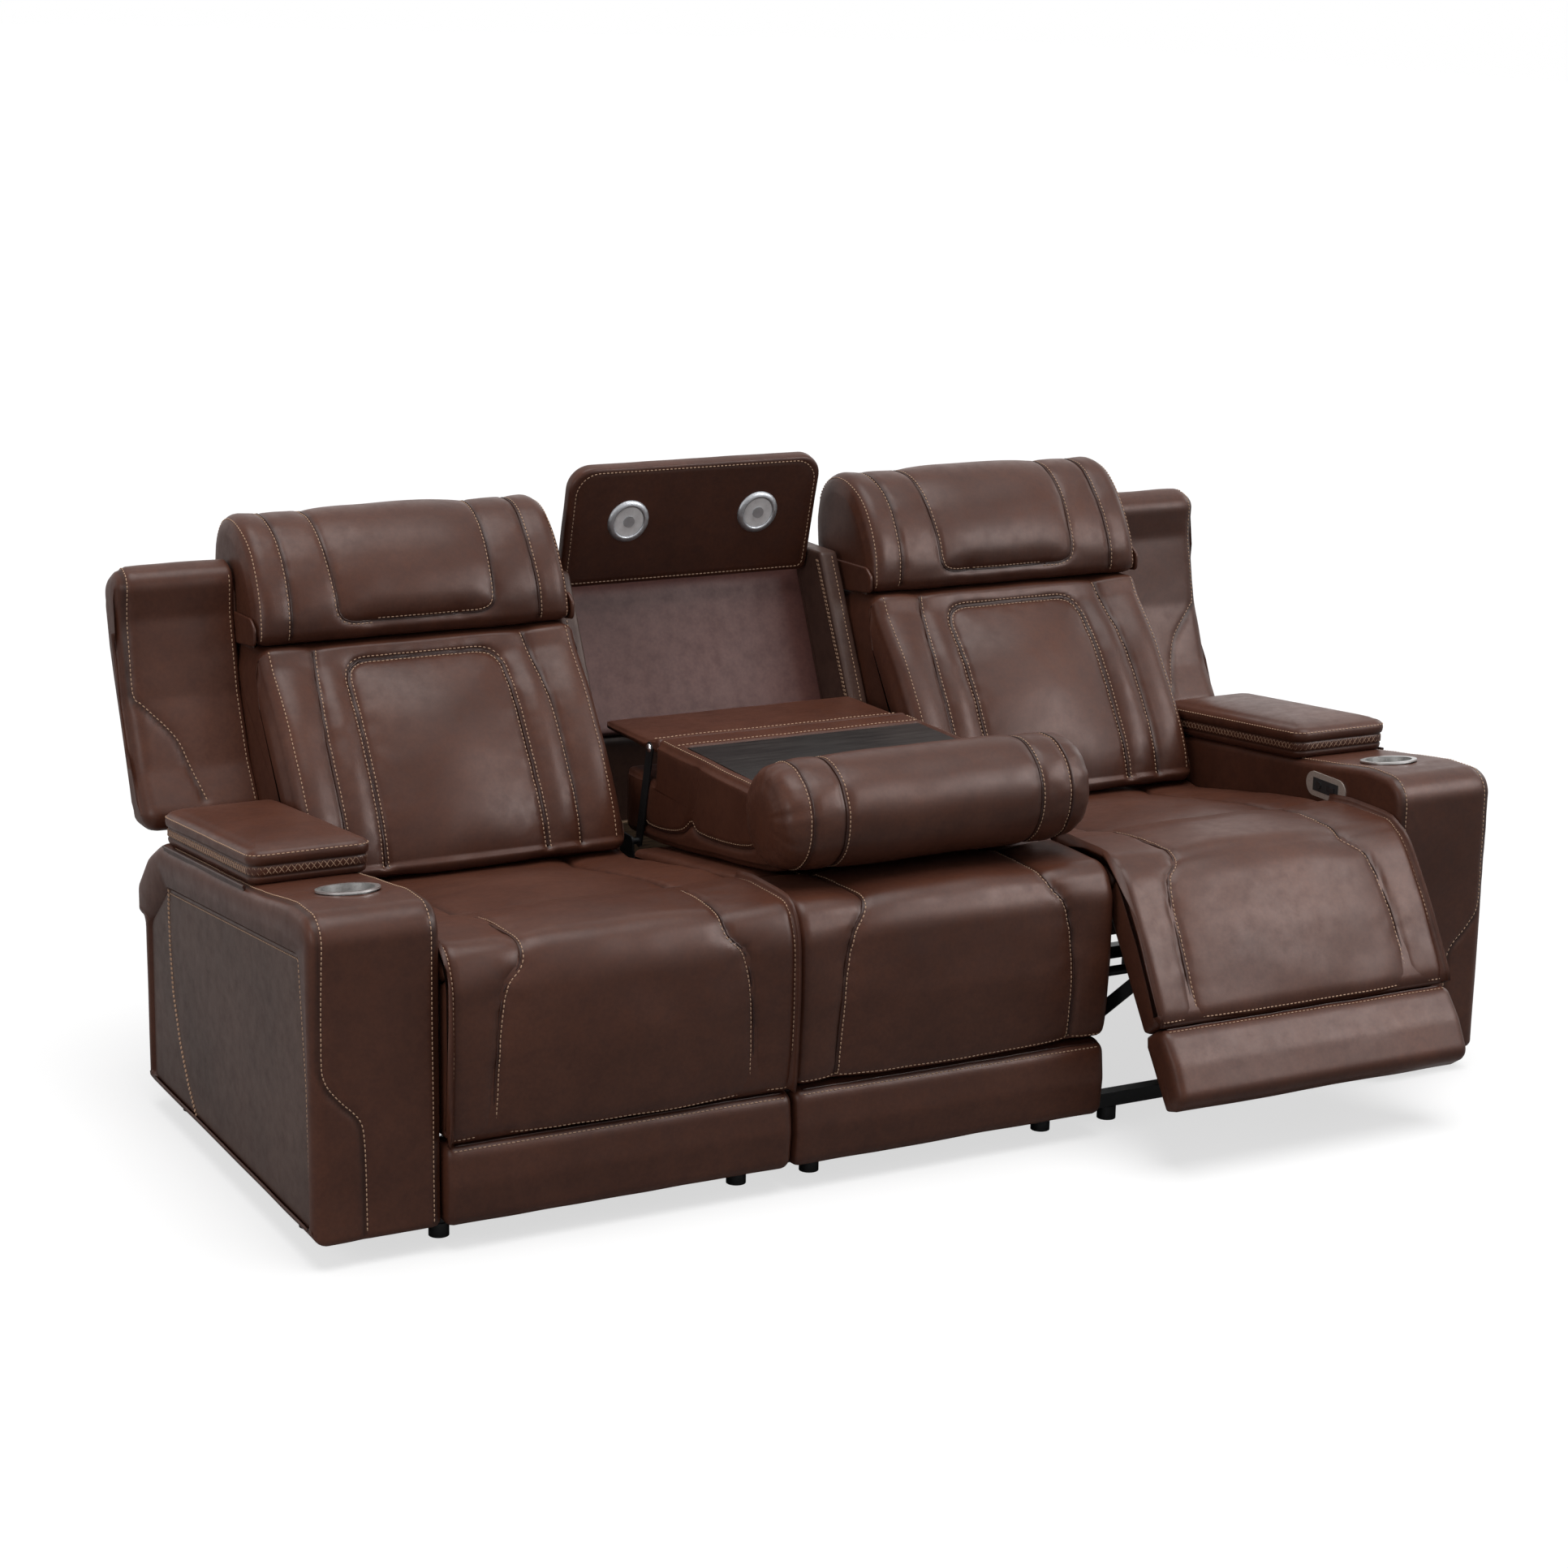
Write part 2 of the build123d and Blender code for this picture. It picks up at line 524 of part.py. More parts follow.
def middle_seat():
    made = {}
    outline = seat_outline(middle_seat_rear)
    lowered = [(y, z - 4.5 if y > 100.0 and z > seat_deck + 1 else z, r, s) for y, z, r, s in outline]
    stations = lobes([-middle_half, -190.0, 190.0, middle_half], [edge_draw, seam_draw, seam_draw, edge_draw])
    made["middle_seat_cushion"] = cushion(lowered, stations)
    made["middle_front_pad"] = nose_cut(cushion(pad_outline, stations))
    made["middle_front_roll"] = front_roll(-middle_half, middle_half)
    floor = rail_z + rail_height + touch_gap
    side = middle_half - 5.0
    frame = block(-side, side, pad_back + touch_gap, pad_back + 19, floor, 384)
    for x in (-side, side - board):
        frame += block(x, x + board, pad_back + 10, 955, floor, 384)
    frame += block(-side, side, 52, 606, 384 - board, 384)
    frame += block(-side, side, 590, 606, 290, 384)
    frame += block(-side, side, 939, 955, floor, 384)
    made["middle_seat_frame"] = frame
    rear = recess_thickness + 4.0
    post = prism([(recess_y(540.0) - 205.0, 384.3), (recess_y(post_top) - 117.0, post_top),
                  (recess_y(post_top) + rear, post_top), (recess_y(540.0) + rear, 540.0),
                  (recess_y(540.0) + rear, 384.3)], post_inner, post_outer, 6)
    post += rod(light_edge, pin_radius, post_inner - 14, post_inner + 2)
    panel = prism([recess_foot, (recess_y(post_top - 4), post_top - 4),
                   (recess_y(post_top - 4) + rear + 2.0, post_top - 4),
                   (recess_foot[0] + rear + 2.0, recess_foot[1])],
                  -post_inner - 1, post_inner + 1)
    knee = recess_y(540.0) + rear
    top = recess_y(post_top) + rear
    t = middle_shell_thickness
    shell = prism([(knee - 1.0, floor), (knee - 1.0, 540.0), (top - 1.0, post_top), (top + t, post_top),
                   (knee + t, 536.0), (knee + t, floor)], -middle_half + 3, middle_half - 3)
    made["middle_back"] = shell + panel + post + mirrored(post)
    bracket = prism([(650, 300), (710, 300), (706, 440), (654, 440)], side - board - touch_gap - plate,
                    side - board - touch_gap, 10)
    bracket += rod(console_pivot, pin_radius, bracket_inner - 0.4, side - board - touch_gap)
    made["console_pivot_brackets"] = both(bracket)
    return made


# ---- console ----
def console():
    made = {}
    notch_y, notch_z = console_notch
    outline = [(140.0, 508.0, 3.0, 0.0), (190.0, 494.5, 30.0, 0.5), (300.0, 477.0, 60.0, 0.5),
               (600.0, 436.5, 60.0, 0.5),
               (console_rear, 431.0, 16.0, 0.8), (console_rear, notch_z, 16.0, 0.0),
               (notch_y, notch_z, 8.0, 0.0),
               (notch_y, console_top, 12.0, 1.0), (140.0, console_top, 3.0, 1.0)]
    body = cushion(outline, [(-console_half, 10.0), (-console_half + 4, 4.0), (-console_half + 14, 0.0),
                             (console_half - 14, 0.0), (console_half - 4, 4.0), (console_half, 10.0)])
    body -= rod(roll_centre, roll_radius + 0.4, -console_half - 5, console_half + 5)
    tray_bottom = console_top + tray_proud - tray_thickness
    body -= block(-tray_half - 0.5, tray_half + 0.5, tray_front - 0.5, tray_rear + 0.5, tray_bottom - 0.3,
                  700)
    tray = block(-tray_half, tray_half, tray_front, tray_rear, tray_bottom, console_top + tray_proud)
    cups = []
    for x in (-console_cup[0], console_cup[0]):
        at = Pos(x, console_cup[1], console_top + tray_proud)
        body -= at * Cylinder(console_cup_radius + 3.0, 2 * console_cup_depth + 10)
        tray -= at * Cylinder(console_cup_radius + 2.0, 60)
        cup = at * Pos(0, 0, 0.9) * Cylinder(console_cup_radius + 7.0, 1.6)
        cup += at * Pos(0, 0, 0.5 - console_cup_depth / 2) * Cylinder(console_cup_radius + cup_wall,
                                                                      console_cup_depth)
        cup -= at * Pos(0, 0, 0.5 + cup_wall) * Cylinder(console_cup_radius, 2 * console_cup_depth)
        cups.append(cup)
    made["console_body"] = body
    made["console_tray"] = tray
    made["console_cups"] = group(*cups)
    outline = [(roll_centre[0] + roll_radius * cos(radians(a)) / cos(radians(15)),
                roll_centre[1] + roll_radius * sin(radians(a)) / cos(radians(15)), roll_radius * 0.995, 1.0)
               for a in range(15, 375, 30)]
    made["console_roll"] = cushion(outline, [(-roll_half, 36.0), (-roll_half + 4, 24.0), (-roll_half + 14,
                                                                                          12.0),
                                             (-roll_half + 34, 4.0), (-roll_half + 62, 0.0),
                                             (roll_half - 62, 0.0),
                                             (roll_half - 34, 4.0), (roll_half - 14, 12.0),
                                             (roll_half - 4, 24.0),
                                             (roll_half, 36.0)])
    cover = prism([(cover_front, cover_thickness + 602), (cover_front, 602), (cover_rear, 602),
                   (cover_rear, cover_thickness + 602)], -console_half, console_half, 6)
    for x in (-180.0, 164.0):
        cover += block(x, x + board, 640, console_rear - 20, notch_z + touch_gap, 603)
    made["gap_cover"] = cover
    rivet = (636.0, 609.0)
    arm = link(console_pivot, rivet, bracket_inner, bracket_inner + bracket_plate)
    arm -= rod(console_pivot, pin_radius + running_gap, bracket_inner - 1, bracket_inner + bracket_plate + 1)
    arm += rod(rivet, 8.0, bracket_inner, bracket_inner + bracket_plate + 2.0)
    made["console_brackets"] = both(arm)
    return made


# ---- reading-light panel ----
def on_light(solid):
    """Stand a piece made with its axis along X through the origin, front face to -Y, on the panel's hinge."""
    return Pos(0, *light_edge) * Rot(light_lean, 0, 0) * solid


def light_panel():
    made = {}
    face = -light_axis_setback
    outline = FilletPolyline((-light_half, -light_heel), (light_half, -light_heel),
                             (light_half, light_height),
                             (-light_half, light_height), radius=[12.0, 12.0, light_corner, light_corner],
                             close=True)
    slab = extrude(Plane.XZ.offset(light_axis_setback - light_thickness) * make_face(outline.edges()),
                   light_thickness)
    slab = fillet(slab.edges().group_by(Axis.Y)[0], 5.0)
    slab -= rod((0.0, 0.0), pin_radius + running_gap, light_half - 16, light_half + 5)
    slab -= rod((0.0, 0.0), pin_radius + running_gap, -light_half - 5, -light_half + 16)
    sink = lamp_depth - lamp_proud
    rings, lenses = [], []
    for name, x in (("left_lamp_button", -lamp_x), ("right_lamp_button", lamp_x)):
        def disc(radius, depth, rise):
            return Pos(x, face - rise + depth / 2, lamp_height) * Rot(90, 0, 0) * Cylinder(radius, depth)
        slab -= disc(lamp_radius + 0.3, sink + 0.3 + 5, 5.0)
        rings.append(disc(lamp_radius, lamp_depth, lamp_proud) - disc(lens_radius + 0.2, lamp_depth + 2,
                                                                      lamp_proud + 1))
        lenses.append(disc(lens_radius, lamp_depth - 2, lamp_proud - 2)
                      - disc(lamp_button_radius + button_gap, lamp_depth + 2, lamp_proud + 1))
        made[name] = on_light(disc(lamp_button_radius, lamp_depth - button_travel - 1.0, lamp_proud))
    made["light_panel"] = on_light(slab)
    made["lamp_rings"] = on_light(group(*rings))
    made["lamp_lenses"] = on_light(group(*lenses))
    return made


# ---- base ----
def base():
    made = {}
    top = rail_z + rail_height
    rails = block(-seat_outer + 5, seat_outer - 5, rail_y, rail_y + rail_width, rail_z, top)
    rails += block(-seat_outer + 5, seat_outer - 5, 775, 775 + rail_width, rail_z, top)
    for x in (side_plate_x - 2, 2 * seat_middle - side_plate_x + 2 - rail_width):
        rails += block(x, x + rail_width, rail_y, 800, rail_z, top)
        rails += block(-x - rail_width, -x, rail_y, 800, rail_z, top)
    arm_pad = floor_clearance - touch_gap
    feet = []
    for side in (-1, 1):
        for y in (165.0, 765.0):
            rails += block(side * (seat_outer - 10), side * (arm_outer - 30), y, y + rail_width, rail_z,
                           arm_pad)
            feet.append(Pos(side * (arm_outer - 60), y + rail_width / 2, foot_height / 2)
                        * Cylinder(foot_radius, foot_height))
        for x in (232.0, 371.0, seat_outer - 18):
            for y in (rail_y + rail_width / 2, 787.5):
                feet.append(Pos(side * x, y, foot_height / 2) * Cylinder(foot_radius, foot_height))
    for foot in feet:
        rails += foot
    made["base_frame"] = rails
    return made


# ---- all pieces ----
for part_name, made_part in right_arm().items():
    if part_name in ("cup_holder", "lid_hinge"):
        nodes[part_name + "s"] = both(made_part)
    else:
        nodes["right_" + part_name] = made_part
        nodes["left_" + part_name] = mirrored(made_part)
for part_name, made_part in outer_back().items():
    nodes["right_" + part_name] = made_part
    nodes["left_" + part_name] = mirrored(made_part)
for part_name, made_part in outer_seat(right_footrest_rest).items():
    nodes["right_" + part_name] = made_part
for part_name, made_part in outer_seat(0.0).items():
    nodes["left_" + part_name] = mirrored(made_part)
nodes.update(middle_seat())
nodes.update(console())
nodes.update(light_panel())
nodes.update(base())

boxes = [shape.bounding_box() for shape in nodes.values()]
front = min(box.min.Y for box in boxes)
rear = max(box.max.Y for box in boxes)
centre_y = round((front + rear) / 2, 1)
print("pieces", len(nodes), "front", round(front, 2), "rear", round(rear, 2), "moved by", -centre_y)
os.makedirs("parts", exist_ok=True)
for part_name, shape in nodes.items():
    export_step(Pos(0, -centre_y, 0) * shape, f"parts/{part_name}.step")
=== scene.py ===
import math

import bmesh
import bpy
import numpy as np
from mathutils import Matrix, Vector

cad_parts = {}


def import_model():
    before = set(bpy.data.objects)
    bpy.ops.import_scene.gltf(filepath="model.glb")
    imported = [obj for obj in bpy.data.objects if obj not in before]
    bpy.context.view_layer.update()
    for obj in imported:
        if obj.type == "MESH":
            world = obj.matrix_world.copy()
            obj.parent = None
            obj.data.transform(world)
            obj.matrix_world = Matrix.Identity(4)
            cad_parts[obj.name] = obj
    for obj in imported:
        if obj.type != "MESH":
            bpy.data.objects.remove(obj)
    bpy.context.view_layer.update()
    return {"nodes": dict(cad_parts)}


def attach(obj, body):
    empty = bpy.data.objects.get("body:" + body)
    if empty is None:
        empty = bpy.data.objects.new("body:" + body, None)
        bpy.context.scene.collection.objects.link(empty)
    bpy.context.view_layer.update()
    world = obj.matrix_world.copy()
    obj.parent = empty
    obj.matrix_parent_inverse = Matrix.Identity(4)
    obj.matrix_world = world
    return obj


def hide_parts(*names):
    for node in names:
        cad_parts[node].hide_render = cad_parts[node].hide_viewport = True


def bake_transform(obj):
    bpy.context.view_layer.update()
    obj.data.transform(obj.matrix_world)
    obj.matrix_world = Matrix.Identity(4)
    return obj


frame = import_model()
nodes = frame["nodes"]

# Every size below is in millimetres with y = 0 near the arms' fronts, as in part.py. The left side mirrors the right.
frameShiftY = -435.5
middleHalf = 305.0
seatInner = 311.0
seatOuter = 926.0
seatCentre = 618.5
armInner = 929.0
armOuter = 1143.0
footPivot = (5.0, 470.0)
rightOpen = math.radians(34.0)  # the right footrest stands this far open at rest


cameraPlan = dict(place=(-2777.0, -4603.5, 2057.9), yaw=0.4899, pitch=0.2545, roll=0.0184, lens=76.2, sensor=36.0)


def makeCamera():
    yaw, pitch, roll = cameraPlan["yaw"], cameraPlan["pitch"], cameraPlan["roll"]
    forward = Vector((math.sin(yaw) * math.cos(pitch), math.cos(yaw) * math.cos(pitch), -math.sin(pitch)))
    right = Vector((math.cos(yaw), -math.sin(yaw), 0.0))
    up = right.cross(forward)
    rolledRight = right * math.cos(roll) + up * math.sin(roll)
    rolledUp = up * math.cos(roll) - right * math.sin(roll)
    data = bpy.data.cameras.new("camera")
    data.lens = cameraPlan["lens"]
    data.sensor_width = cameraPlan["sensor"]
    data.clip_end = 60.0
    camera = bpy.data.objects.new("camera", data)
    bpy.context.scene.collection.objects.link(camera)
    x, y, z = cameraPlan["place"]
    basis = Matrix((rolledRight, rolledUp, -forward)).transposed().to_4x4()
    camera.matrix_world = Matrix.Translation((x / 1000, (y + frameShiftY) / 1000, z / 1000)) @ basis
    bpy.context.scene.camera = camera


def softLight(name, place, target, size, energy, shape="RECTANGLE"):
    data = bpy.data.lights.new(name, "AREA")
    data.shape = shape
    data.size, data.size_y = size
    data.energy = energy
    light = bpy.data.objects.new(name, data)
    bpy.context.scene.collection.objects.link(light)
    light.location = place
    light.rotation_euler = (Vector(target) - Vector(place)).to_track_quat("-Z", "Y").to_euler()
    return light


# Lamps give place, target and size in metres, then watts.
studioPlan = dict(ambient=0.24, floor=(0.34, 0.34, 0.34), floorGlow=(0.66, 0.68), glowReach=(1.5, 9.0),
                  floorX=30.0, floorY=(-30.0, 60.0), floorZ=-0.0005,
                  sunPower=2.62, sunSpread=44.0, sunFrom=(0.06, -0.14, 1.0),
                  fill=((-4.2, -1.6, 2.0), (-0.8, 0.0, 0.5), (1.8, 1.4), 34.0),
                  rim=((4.4, 0.8, 2.4), (0.9, 0.1, 0.6), (2.0, 1.4), 20.0),
                  sheen=((2.6, -2.6, 2.6), (0.3, 0.1, 0.7), (2.7, 2.1), 140.0))


# the camera ray alone, and the rays that should meet the white background
def seenDirectly(tree):
    path = addNode(tree, "ShaderNodeLightPath")
    first = addNode(tree, "ShaderNodeMath", operation="MAXIMUM")
    second = addNode(tree, "ShaderNodeMath", operation="MAXIMUM")
    tree.links.new(path.outputs["Is Camera Ray"], first.inputs[0])
    tree.links.new(path.outputs["Is Transmission Ray"], first.inputs[1])
    tree.links.new(first.outputs[0], second.inputs[0])
    tree.links.new(path.outputs["Is Glossy Ray"], second.inputs[1])
    return path.outputs["Is Camera Ray"], second.outputs[0]


def makeStudio():
    bpy.context.scene.view_settings.view_transform = "Standard"
    world = bpy.data.worlds.new("studio")
    bpy.context.scene.world = world
    world.use_nodes = True
    tree = world.node_tree
    background = tree.nodes["Background"]
    background.inputs["Color"].default_value = (1.0, 1.0, 1.0, 1.0)
    strength = addNode(tree, "ShaderNodeMapRange", {"To Min": studioPlan["ambient"], "To Max": 1.0})
    tree.links.new(seenDirectly(tree)[1], strength.inputs["Value"])
    tree.links.new(strength.outputs["Result"], background.inputs["Strength"])

    sun = bpy.data.lights.new("overhead", "SUN")
    sun.energy = studioPlan["sunPower"]
    sun.angle = math.radians(studioPlan["sunSpread"])
    lamp = bpy.data.objects.new("overhead", sun)
    bpy.context.scene.collection.objects.link(lamp)
    lamp.rotation_euler = (-Vector(studioPlan["sunFrom"])).to_track_quat("-Z", "Y").to_euler()
    softLight("fill", *studioPlan["fill"])
    softLight("rim", *studioPlan["rim"])
    sheen = softLight("sheen", *studioPlan["sheen"], "ELLIPSE")
    sheen.visible_diffuse = False  # highlights on the leather only

    mesh = bpy.data.meshes.new("floor")
    x, (near, far), z = studioPlan["floorX"], studioPlan["floorY"], studioPlan["floorZ"]
    mesh.from_pydata([(-x, near, z), (x, near, z), (x, far, z), (-x, far, z)], [], [(0, 1, 2, 3)])
    floor = bpy.data.objects.new("floor", mesh)
    bpy.context.scene.collection.objects.link(floor)
    material, shader, tree = newMaterial("floorPaper", studioPlan["floor"], 0.9)
    shader.inputs["Specular IOR Level"].default_value = 0.1
    shader.inputs["Emission Color"].default_value = (1.0, 1.0, 1.0, 1.0)
    (start, stop), (near, far) = studioPlan["glowReach"], studioPlan["floorGlow"]
    place = addNode(tree, "ShaderNodeTexCoord")
    length = addNode(tree, "ShaderNodeVectorMath", operation="LENGTH")
    glow = addNode(tree, "ShaderNodeMapRange", {"From Min": start, "From Max": stop, "To Min": near, "To Max": far})
    masked = addNode(tree, "ShaderNodeMath", operation="MULTIPLY")
    tree.links.new(place.outputs["Object"], length.inputs[0])
    tree.links.new(length.outputs["Value"], glow.inputs["Value"])
    tree.links.new(glow.outputs["Result"], masked.inputs[0])
    tree.links.new(seenDirectly(tree)[0], masked.inputs[1])
    tree.links.new(masked.outputs[0], shader.inputs["Emission Strength"])
    mesh.materials.append(material)


def newMaterial(name, colour, roughness, metallic=0.0):
    material = bpy.data.materials.new(name)
    material.use_nodes = True
    tree = material.node_tree
    shader = tree.nodes["Principled BSDF"]
    shader.inputs["Base Color"].default_value = (*colour, 1.0)
    shader.inputs["Roughness"].default_value = roughness
    shader.inputs["Metallic"].default_value = metallic
    return material, shader, tree


def addNode(tree, kind, values=None, **attributes):
    node = tree.nodes.new(kind)
    for key, value in attributes.items():
        setattr(node, key, value)
    for key, value in (values or {}).items():
        node.inputs[key].default_value = value
    return node


def noiseNode(tree, scale, detail=3.0, roughness=0.5, stretch=None):
    coordinates = addNode(tree, "ShaderNodeTexCoord")
    source = coordinates.outputs["Object"]
    if stretch:
        mapping = addNode(tree, "ShaderNodeMapping", {"Scale": stretch})
        tree.links.new(source, mapping.inputs["Vector"])
        source = mapping.outputs["Vector"]
    noise = addNode(tree, "ShaderNodeTexNoise", {"Scale": scale, "Detail": detail, "Roughness": roughness})
    tree.links.new(source, noise.inputs["Vector"])
    return noise


def rampNode(tree, source, stops):
    ramp = addNode(tree, "ShaderNodeValToRGB")
    elements = ramp.color_ramp.elements
    while len(elements) < len(stops):
        elements.new(0.5)
    for element, (position, colour) in zip(elements, stops):
        element.position = position
        element.color = (*colour, 1.0)
    tree.links.new(source, ramp.inputs["Fac"])
    return ramp


def mixColour(tree, factor, first, second, mode="MIX"):
    mix = addNode(tree, "ShaderNodeMix", data_type="RGBA", blend_type=mode)
    for socket, value in ((mix.inputs[0], factor), (mix.inputs[6], first), (mix.inputs[7], second)):
        if hasattr(value, "links"):
            tree.links.new(value, socket)
        elif isinstance(value, float):
            socket.default_value = value
        else:
            socket.default_value = (*value, 1.0)
    return mix.outputs[2]


def bumpChain(tree, shader, layers):
    before = None
    for height, strength, distance in layers:
        bump = addNode(tree, "ShaderNodeBump", {"Strength": strength, "Distance": distance})
        tree.links.new(height, bump.inputs["Height"])
        if before:
            tree.links.new(before, bump.inputs["Normal"])
        before = bump.outputs["Normal"]
    tree.links.new(before, shader.inputs["Normal"])


# a mottled hide with a fine grain, and painted shade in the stitched creases where the "seam" attribute runs
def leatherMaterial(name, dark, mid, light, roughness=0.37, paintedSeamShade=0.5):
    material, shader, tree = newMaterial(name, mid, roughness)
    cloud = noiseNode(tree, 5.5, 4.0, 0.6)
    fine = noiseNode(tree, 38.0, 5.0, 0.65)
    speck = noiseNode(tree, 160.0, 2.0, 0.6)
    base = rampNode(tree, cloud.outputs["Fac"], [(0.30, dark), (0.52, mid), (0.74, light)])
    mottled = rampNode(tree, fine.outputs["Fac"], [(0.32, (0.80, 0.77, 0.80)), (0.52, (1.0, 1.0, 1.0)),
                                                   (0.72, (1.12, 1.08, 1.04))])
    colour = mixColour(tree, 0.8, base.outputs["Color"], mottled.outputs["Color"], "MULTIPLY")
    specks = rampNode(tree, speck.outputs["Fac"], [(0.40, (0.86, 0.84, 0.86)), (0.60, (1.0, 1.0, 1.0))])
    colour = mixColour(tree, 0.7, colour, specks.outputs["Color"], "MULTIPLY")
    # the "seam" attribute holds painted shade for the creases along the stitched seams
    seam = addNode(tree, "ShaderNodeAttribute", attribute_name="seam")
    shade = rampNode(tree, seam.outputs["Fac"], [(0.05, (1.0, 1.0, 1.0)), (0.9, (paintedSeamShade,) * 3)])
    colour = mixColour(tree, 1.0, colour, shade.outputs["Color"], "MULTIPLY")
    tree.links.new(colour, shader.inputs["Base Color"])
    glossy = rampNode(tree, fine.outputs["Fac"], [(0.3, (roughness + 0.07,) * 3), (0.7, (roughness - 0.04,) * 3)])
    tree.links.new(glossy.outputs["Color"], shader.inputs["Roughness"])
    shader.inputs["Specular IOR Level"].default_value = 0.22
    grain = addNode(tree, "ShaderNodeTexVoronoi", {"Scale": 620.0}, feature="DISTANCE_TO_EDGE")
    coordinates = addNode(tree, "ShaderNodeTexCoord")
    tree.links.new(coordinates.outputs["Object"], grain.inputs["Vector"])
    crease = noiseNode(tree, 26.0, 3.0, 0.55)
    bumpChain(tree, shader, [(grain.outputs["Distance"], 0.12, 0.0005), (crease.outputs["Fac"], 0.09, 0.0030),
                             (fine.outputs["Fac"], 0.06, 0.0010)])
    return material


def threadMaterial():
    material, shader, tree = newMaterial("threadTan", (0.36, 0.21, 0.13), 0.6)
    twist = noiseNode(tree, 900.0, 2.0)
    tone = rampNode(tree, twist.outputs["Fac"], [(0.3, (0.34, 0.20, 0.12)), (0.7, (0.52, 0.33, 0.22))])
    tree.links.new(tone.outputs["Color"], shader.inputs["Base Color"])
    bumpChain(tree, shader, [(twist.outputs["Fac"], 0.3, 0.0004)])
    return material


def metalMaterial(name, colour, roughness, stretch, metallic=1.0):
    material, shader, tree = newMaterial(name, colour, roughness, metallic)
    lines = noiseNode(tree, 220.0, 3.0, 0.6, stretch)
    tone = rampNode(tree, lines.outputs["Fac"], [(0.3, tuple(c * 0.82 for c in colour)), (0.7, colour)])
    tree.links.new(tone.outputs["Color"], shader.inputs["Base Color"])
    glossy = rampNode(tree, lines.outputs["Fac"], [(0.3, (roughness * 1.4,) * 3), (0.7, (roughness * 0.8,) * 3)])
    tree.links.new(glossy.outputs["Color"], shader.inputs["Roughness"])
    bumpChain(tree, shader, [(lines.outputs["Fac"], 0.08, 0.0004)])
    return material


def plasticMaterial(name, colour, roughness, metallic=0.0):
    material, shader, tree = newMaterial(name, colour, roughness, metallic)
    cloud = noiseNode(tree, 60.0, 3.0)
    darker, lighter = (tuple(c * share for c in colour) for share in (0.85, 1.1))
    tone = rampNode(tree, cloud.outputs["Fac"], [(0.3, darker), (0.7, lighter)])
    tree.links.new(tone.outputs["Color"], shader.inputs["Base Color"])
    grain = noiseNode(tree, 1400.0, 2.0)
    bumpChain(tree, shader, [(grain.outputs["Fac"], 0.12, 0.0003)])
    return material


def woodMaterial(name, dark, light, roughness, scale=9.0):
    material, shader, tree = newMaterial(name, dark, roughness)
    rings = noiseNode(tree, scale, 5.0, 0.62, (1.0, 14.0, 14.0))
    pores = noiseNode(tree, scale * 22, 2.0, 0.5, (0.12, 2.2, 2.2))
    tone = rampNode(tree, rings.outputs["Fac"], [(0.36, dark), (0.66, light)])
    spots = rampNode(tree, pores.outputs["Fac"], [(0.36, (0.45, 0.45, 0.45)), (0.5, (1.0, 1.0, 1.0))])
    colour = mixColour(tree, 1.0, tone.outputs["Color"], spots.outputs["Color"], "MULTIPLY")
    tree.links.new(colour, shader.inputs["Base Color"])
    shader.inputs["Specular IOR Level"].default_value = 0.3
    bumpChain(tree, shader, [(pores.outputs["Fac"], 0.25, 0.0005)])
    return material


materials = dict(
    leather=leatherMaterial("leatherBrown", (0.060, 0.0208, 0.0120), (0.076, 0.0270, 0.0157), (0.092, 0.0340, 0.0200)),
    outer=leatherMaterial("leatherOuter", (0.050, 0.0255, 0.0185), (0.066, 0.0345, 0.0255), (0.084, 0.0455, 0.034),
                          0.42),
    recess=leatherMaterial("leatherRecess", (0.092, 0.038, 0.032), (0.104, 0.043, 0.036), (0.116, 0.049, 0.041), 0.5),
    thread=threadMaterial(),
    piping=leatherMaterial("leatherPiping", (0.030, 0.012, 0.009), (0.042, 0.016, 0.011), (0.055, 0.022, 0.014), 0.34),
    blackSteel=plasticMaterial("blackSteel", (0.016, 0.016, 0.017), 0.42, 0.3),
    blackPlastic=plasticMaterial("blackPlastic", (0.018, 0.018, 0.019), 0.5),
    stainless=metalMaterial("stainless", (0.60, 0.59, 0.58), 0.30, (1.0, 1.0, 12.0)),
    nickel=metalMaterial("nickel", (0.62, 0.56, 0.50), 0.42, (12.0, 1.0, 1.0), 0.65),
    chrome=metalMaterial("chrome", (0.72, 0.73, 0.75), 0.2, (1.0, 1.0, 1.0)),
    satin=metalMaterial("satinSilver", (0.40, 0.41, 0.43), 0.42, (1.0, 1.0, 1.0)),
    blackGloss=plasticMaterial("blackGloss", (0.045, 0.045, 0.048), 0.24, 0.35),
    greyPaint=plasticMaterial("greyPaint", (0.42, 0.43, 0.45), 0.35, 0.4),
    lens=plasticMaterial("lensWhite", (0.86, 0.86, 0.87), 0.35),
    tray=woodMaterial("trayWood", (0.010, 0.009, 0.009), (0.032, 0.029, 0.027), 0.34),
    board=woodMaterial("rawBoard", (0.10, 0.06, 0.035), (0.17, 0.11, 0.065), 0.7),
)
print("materials made")


def unit(vectors):
    return vectors / (np.linalg.norm(vectors, axis=1)[:, None] + 1e-12)


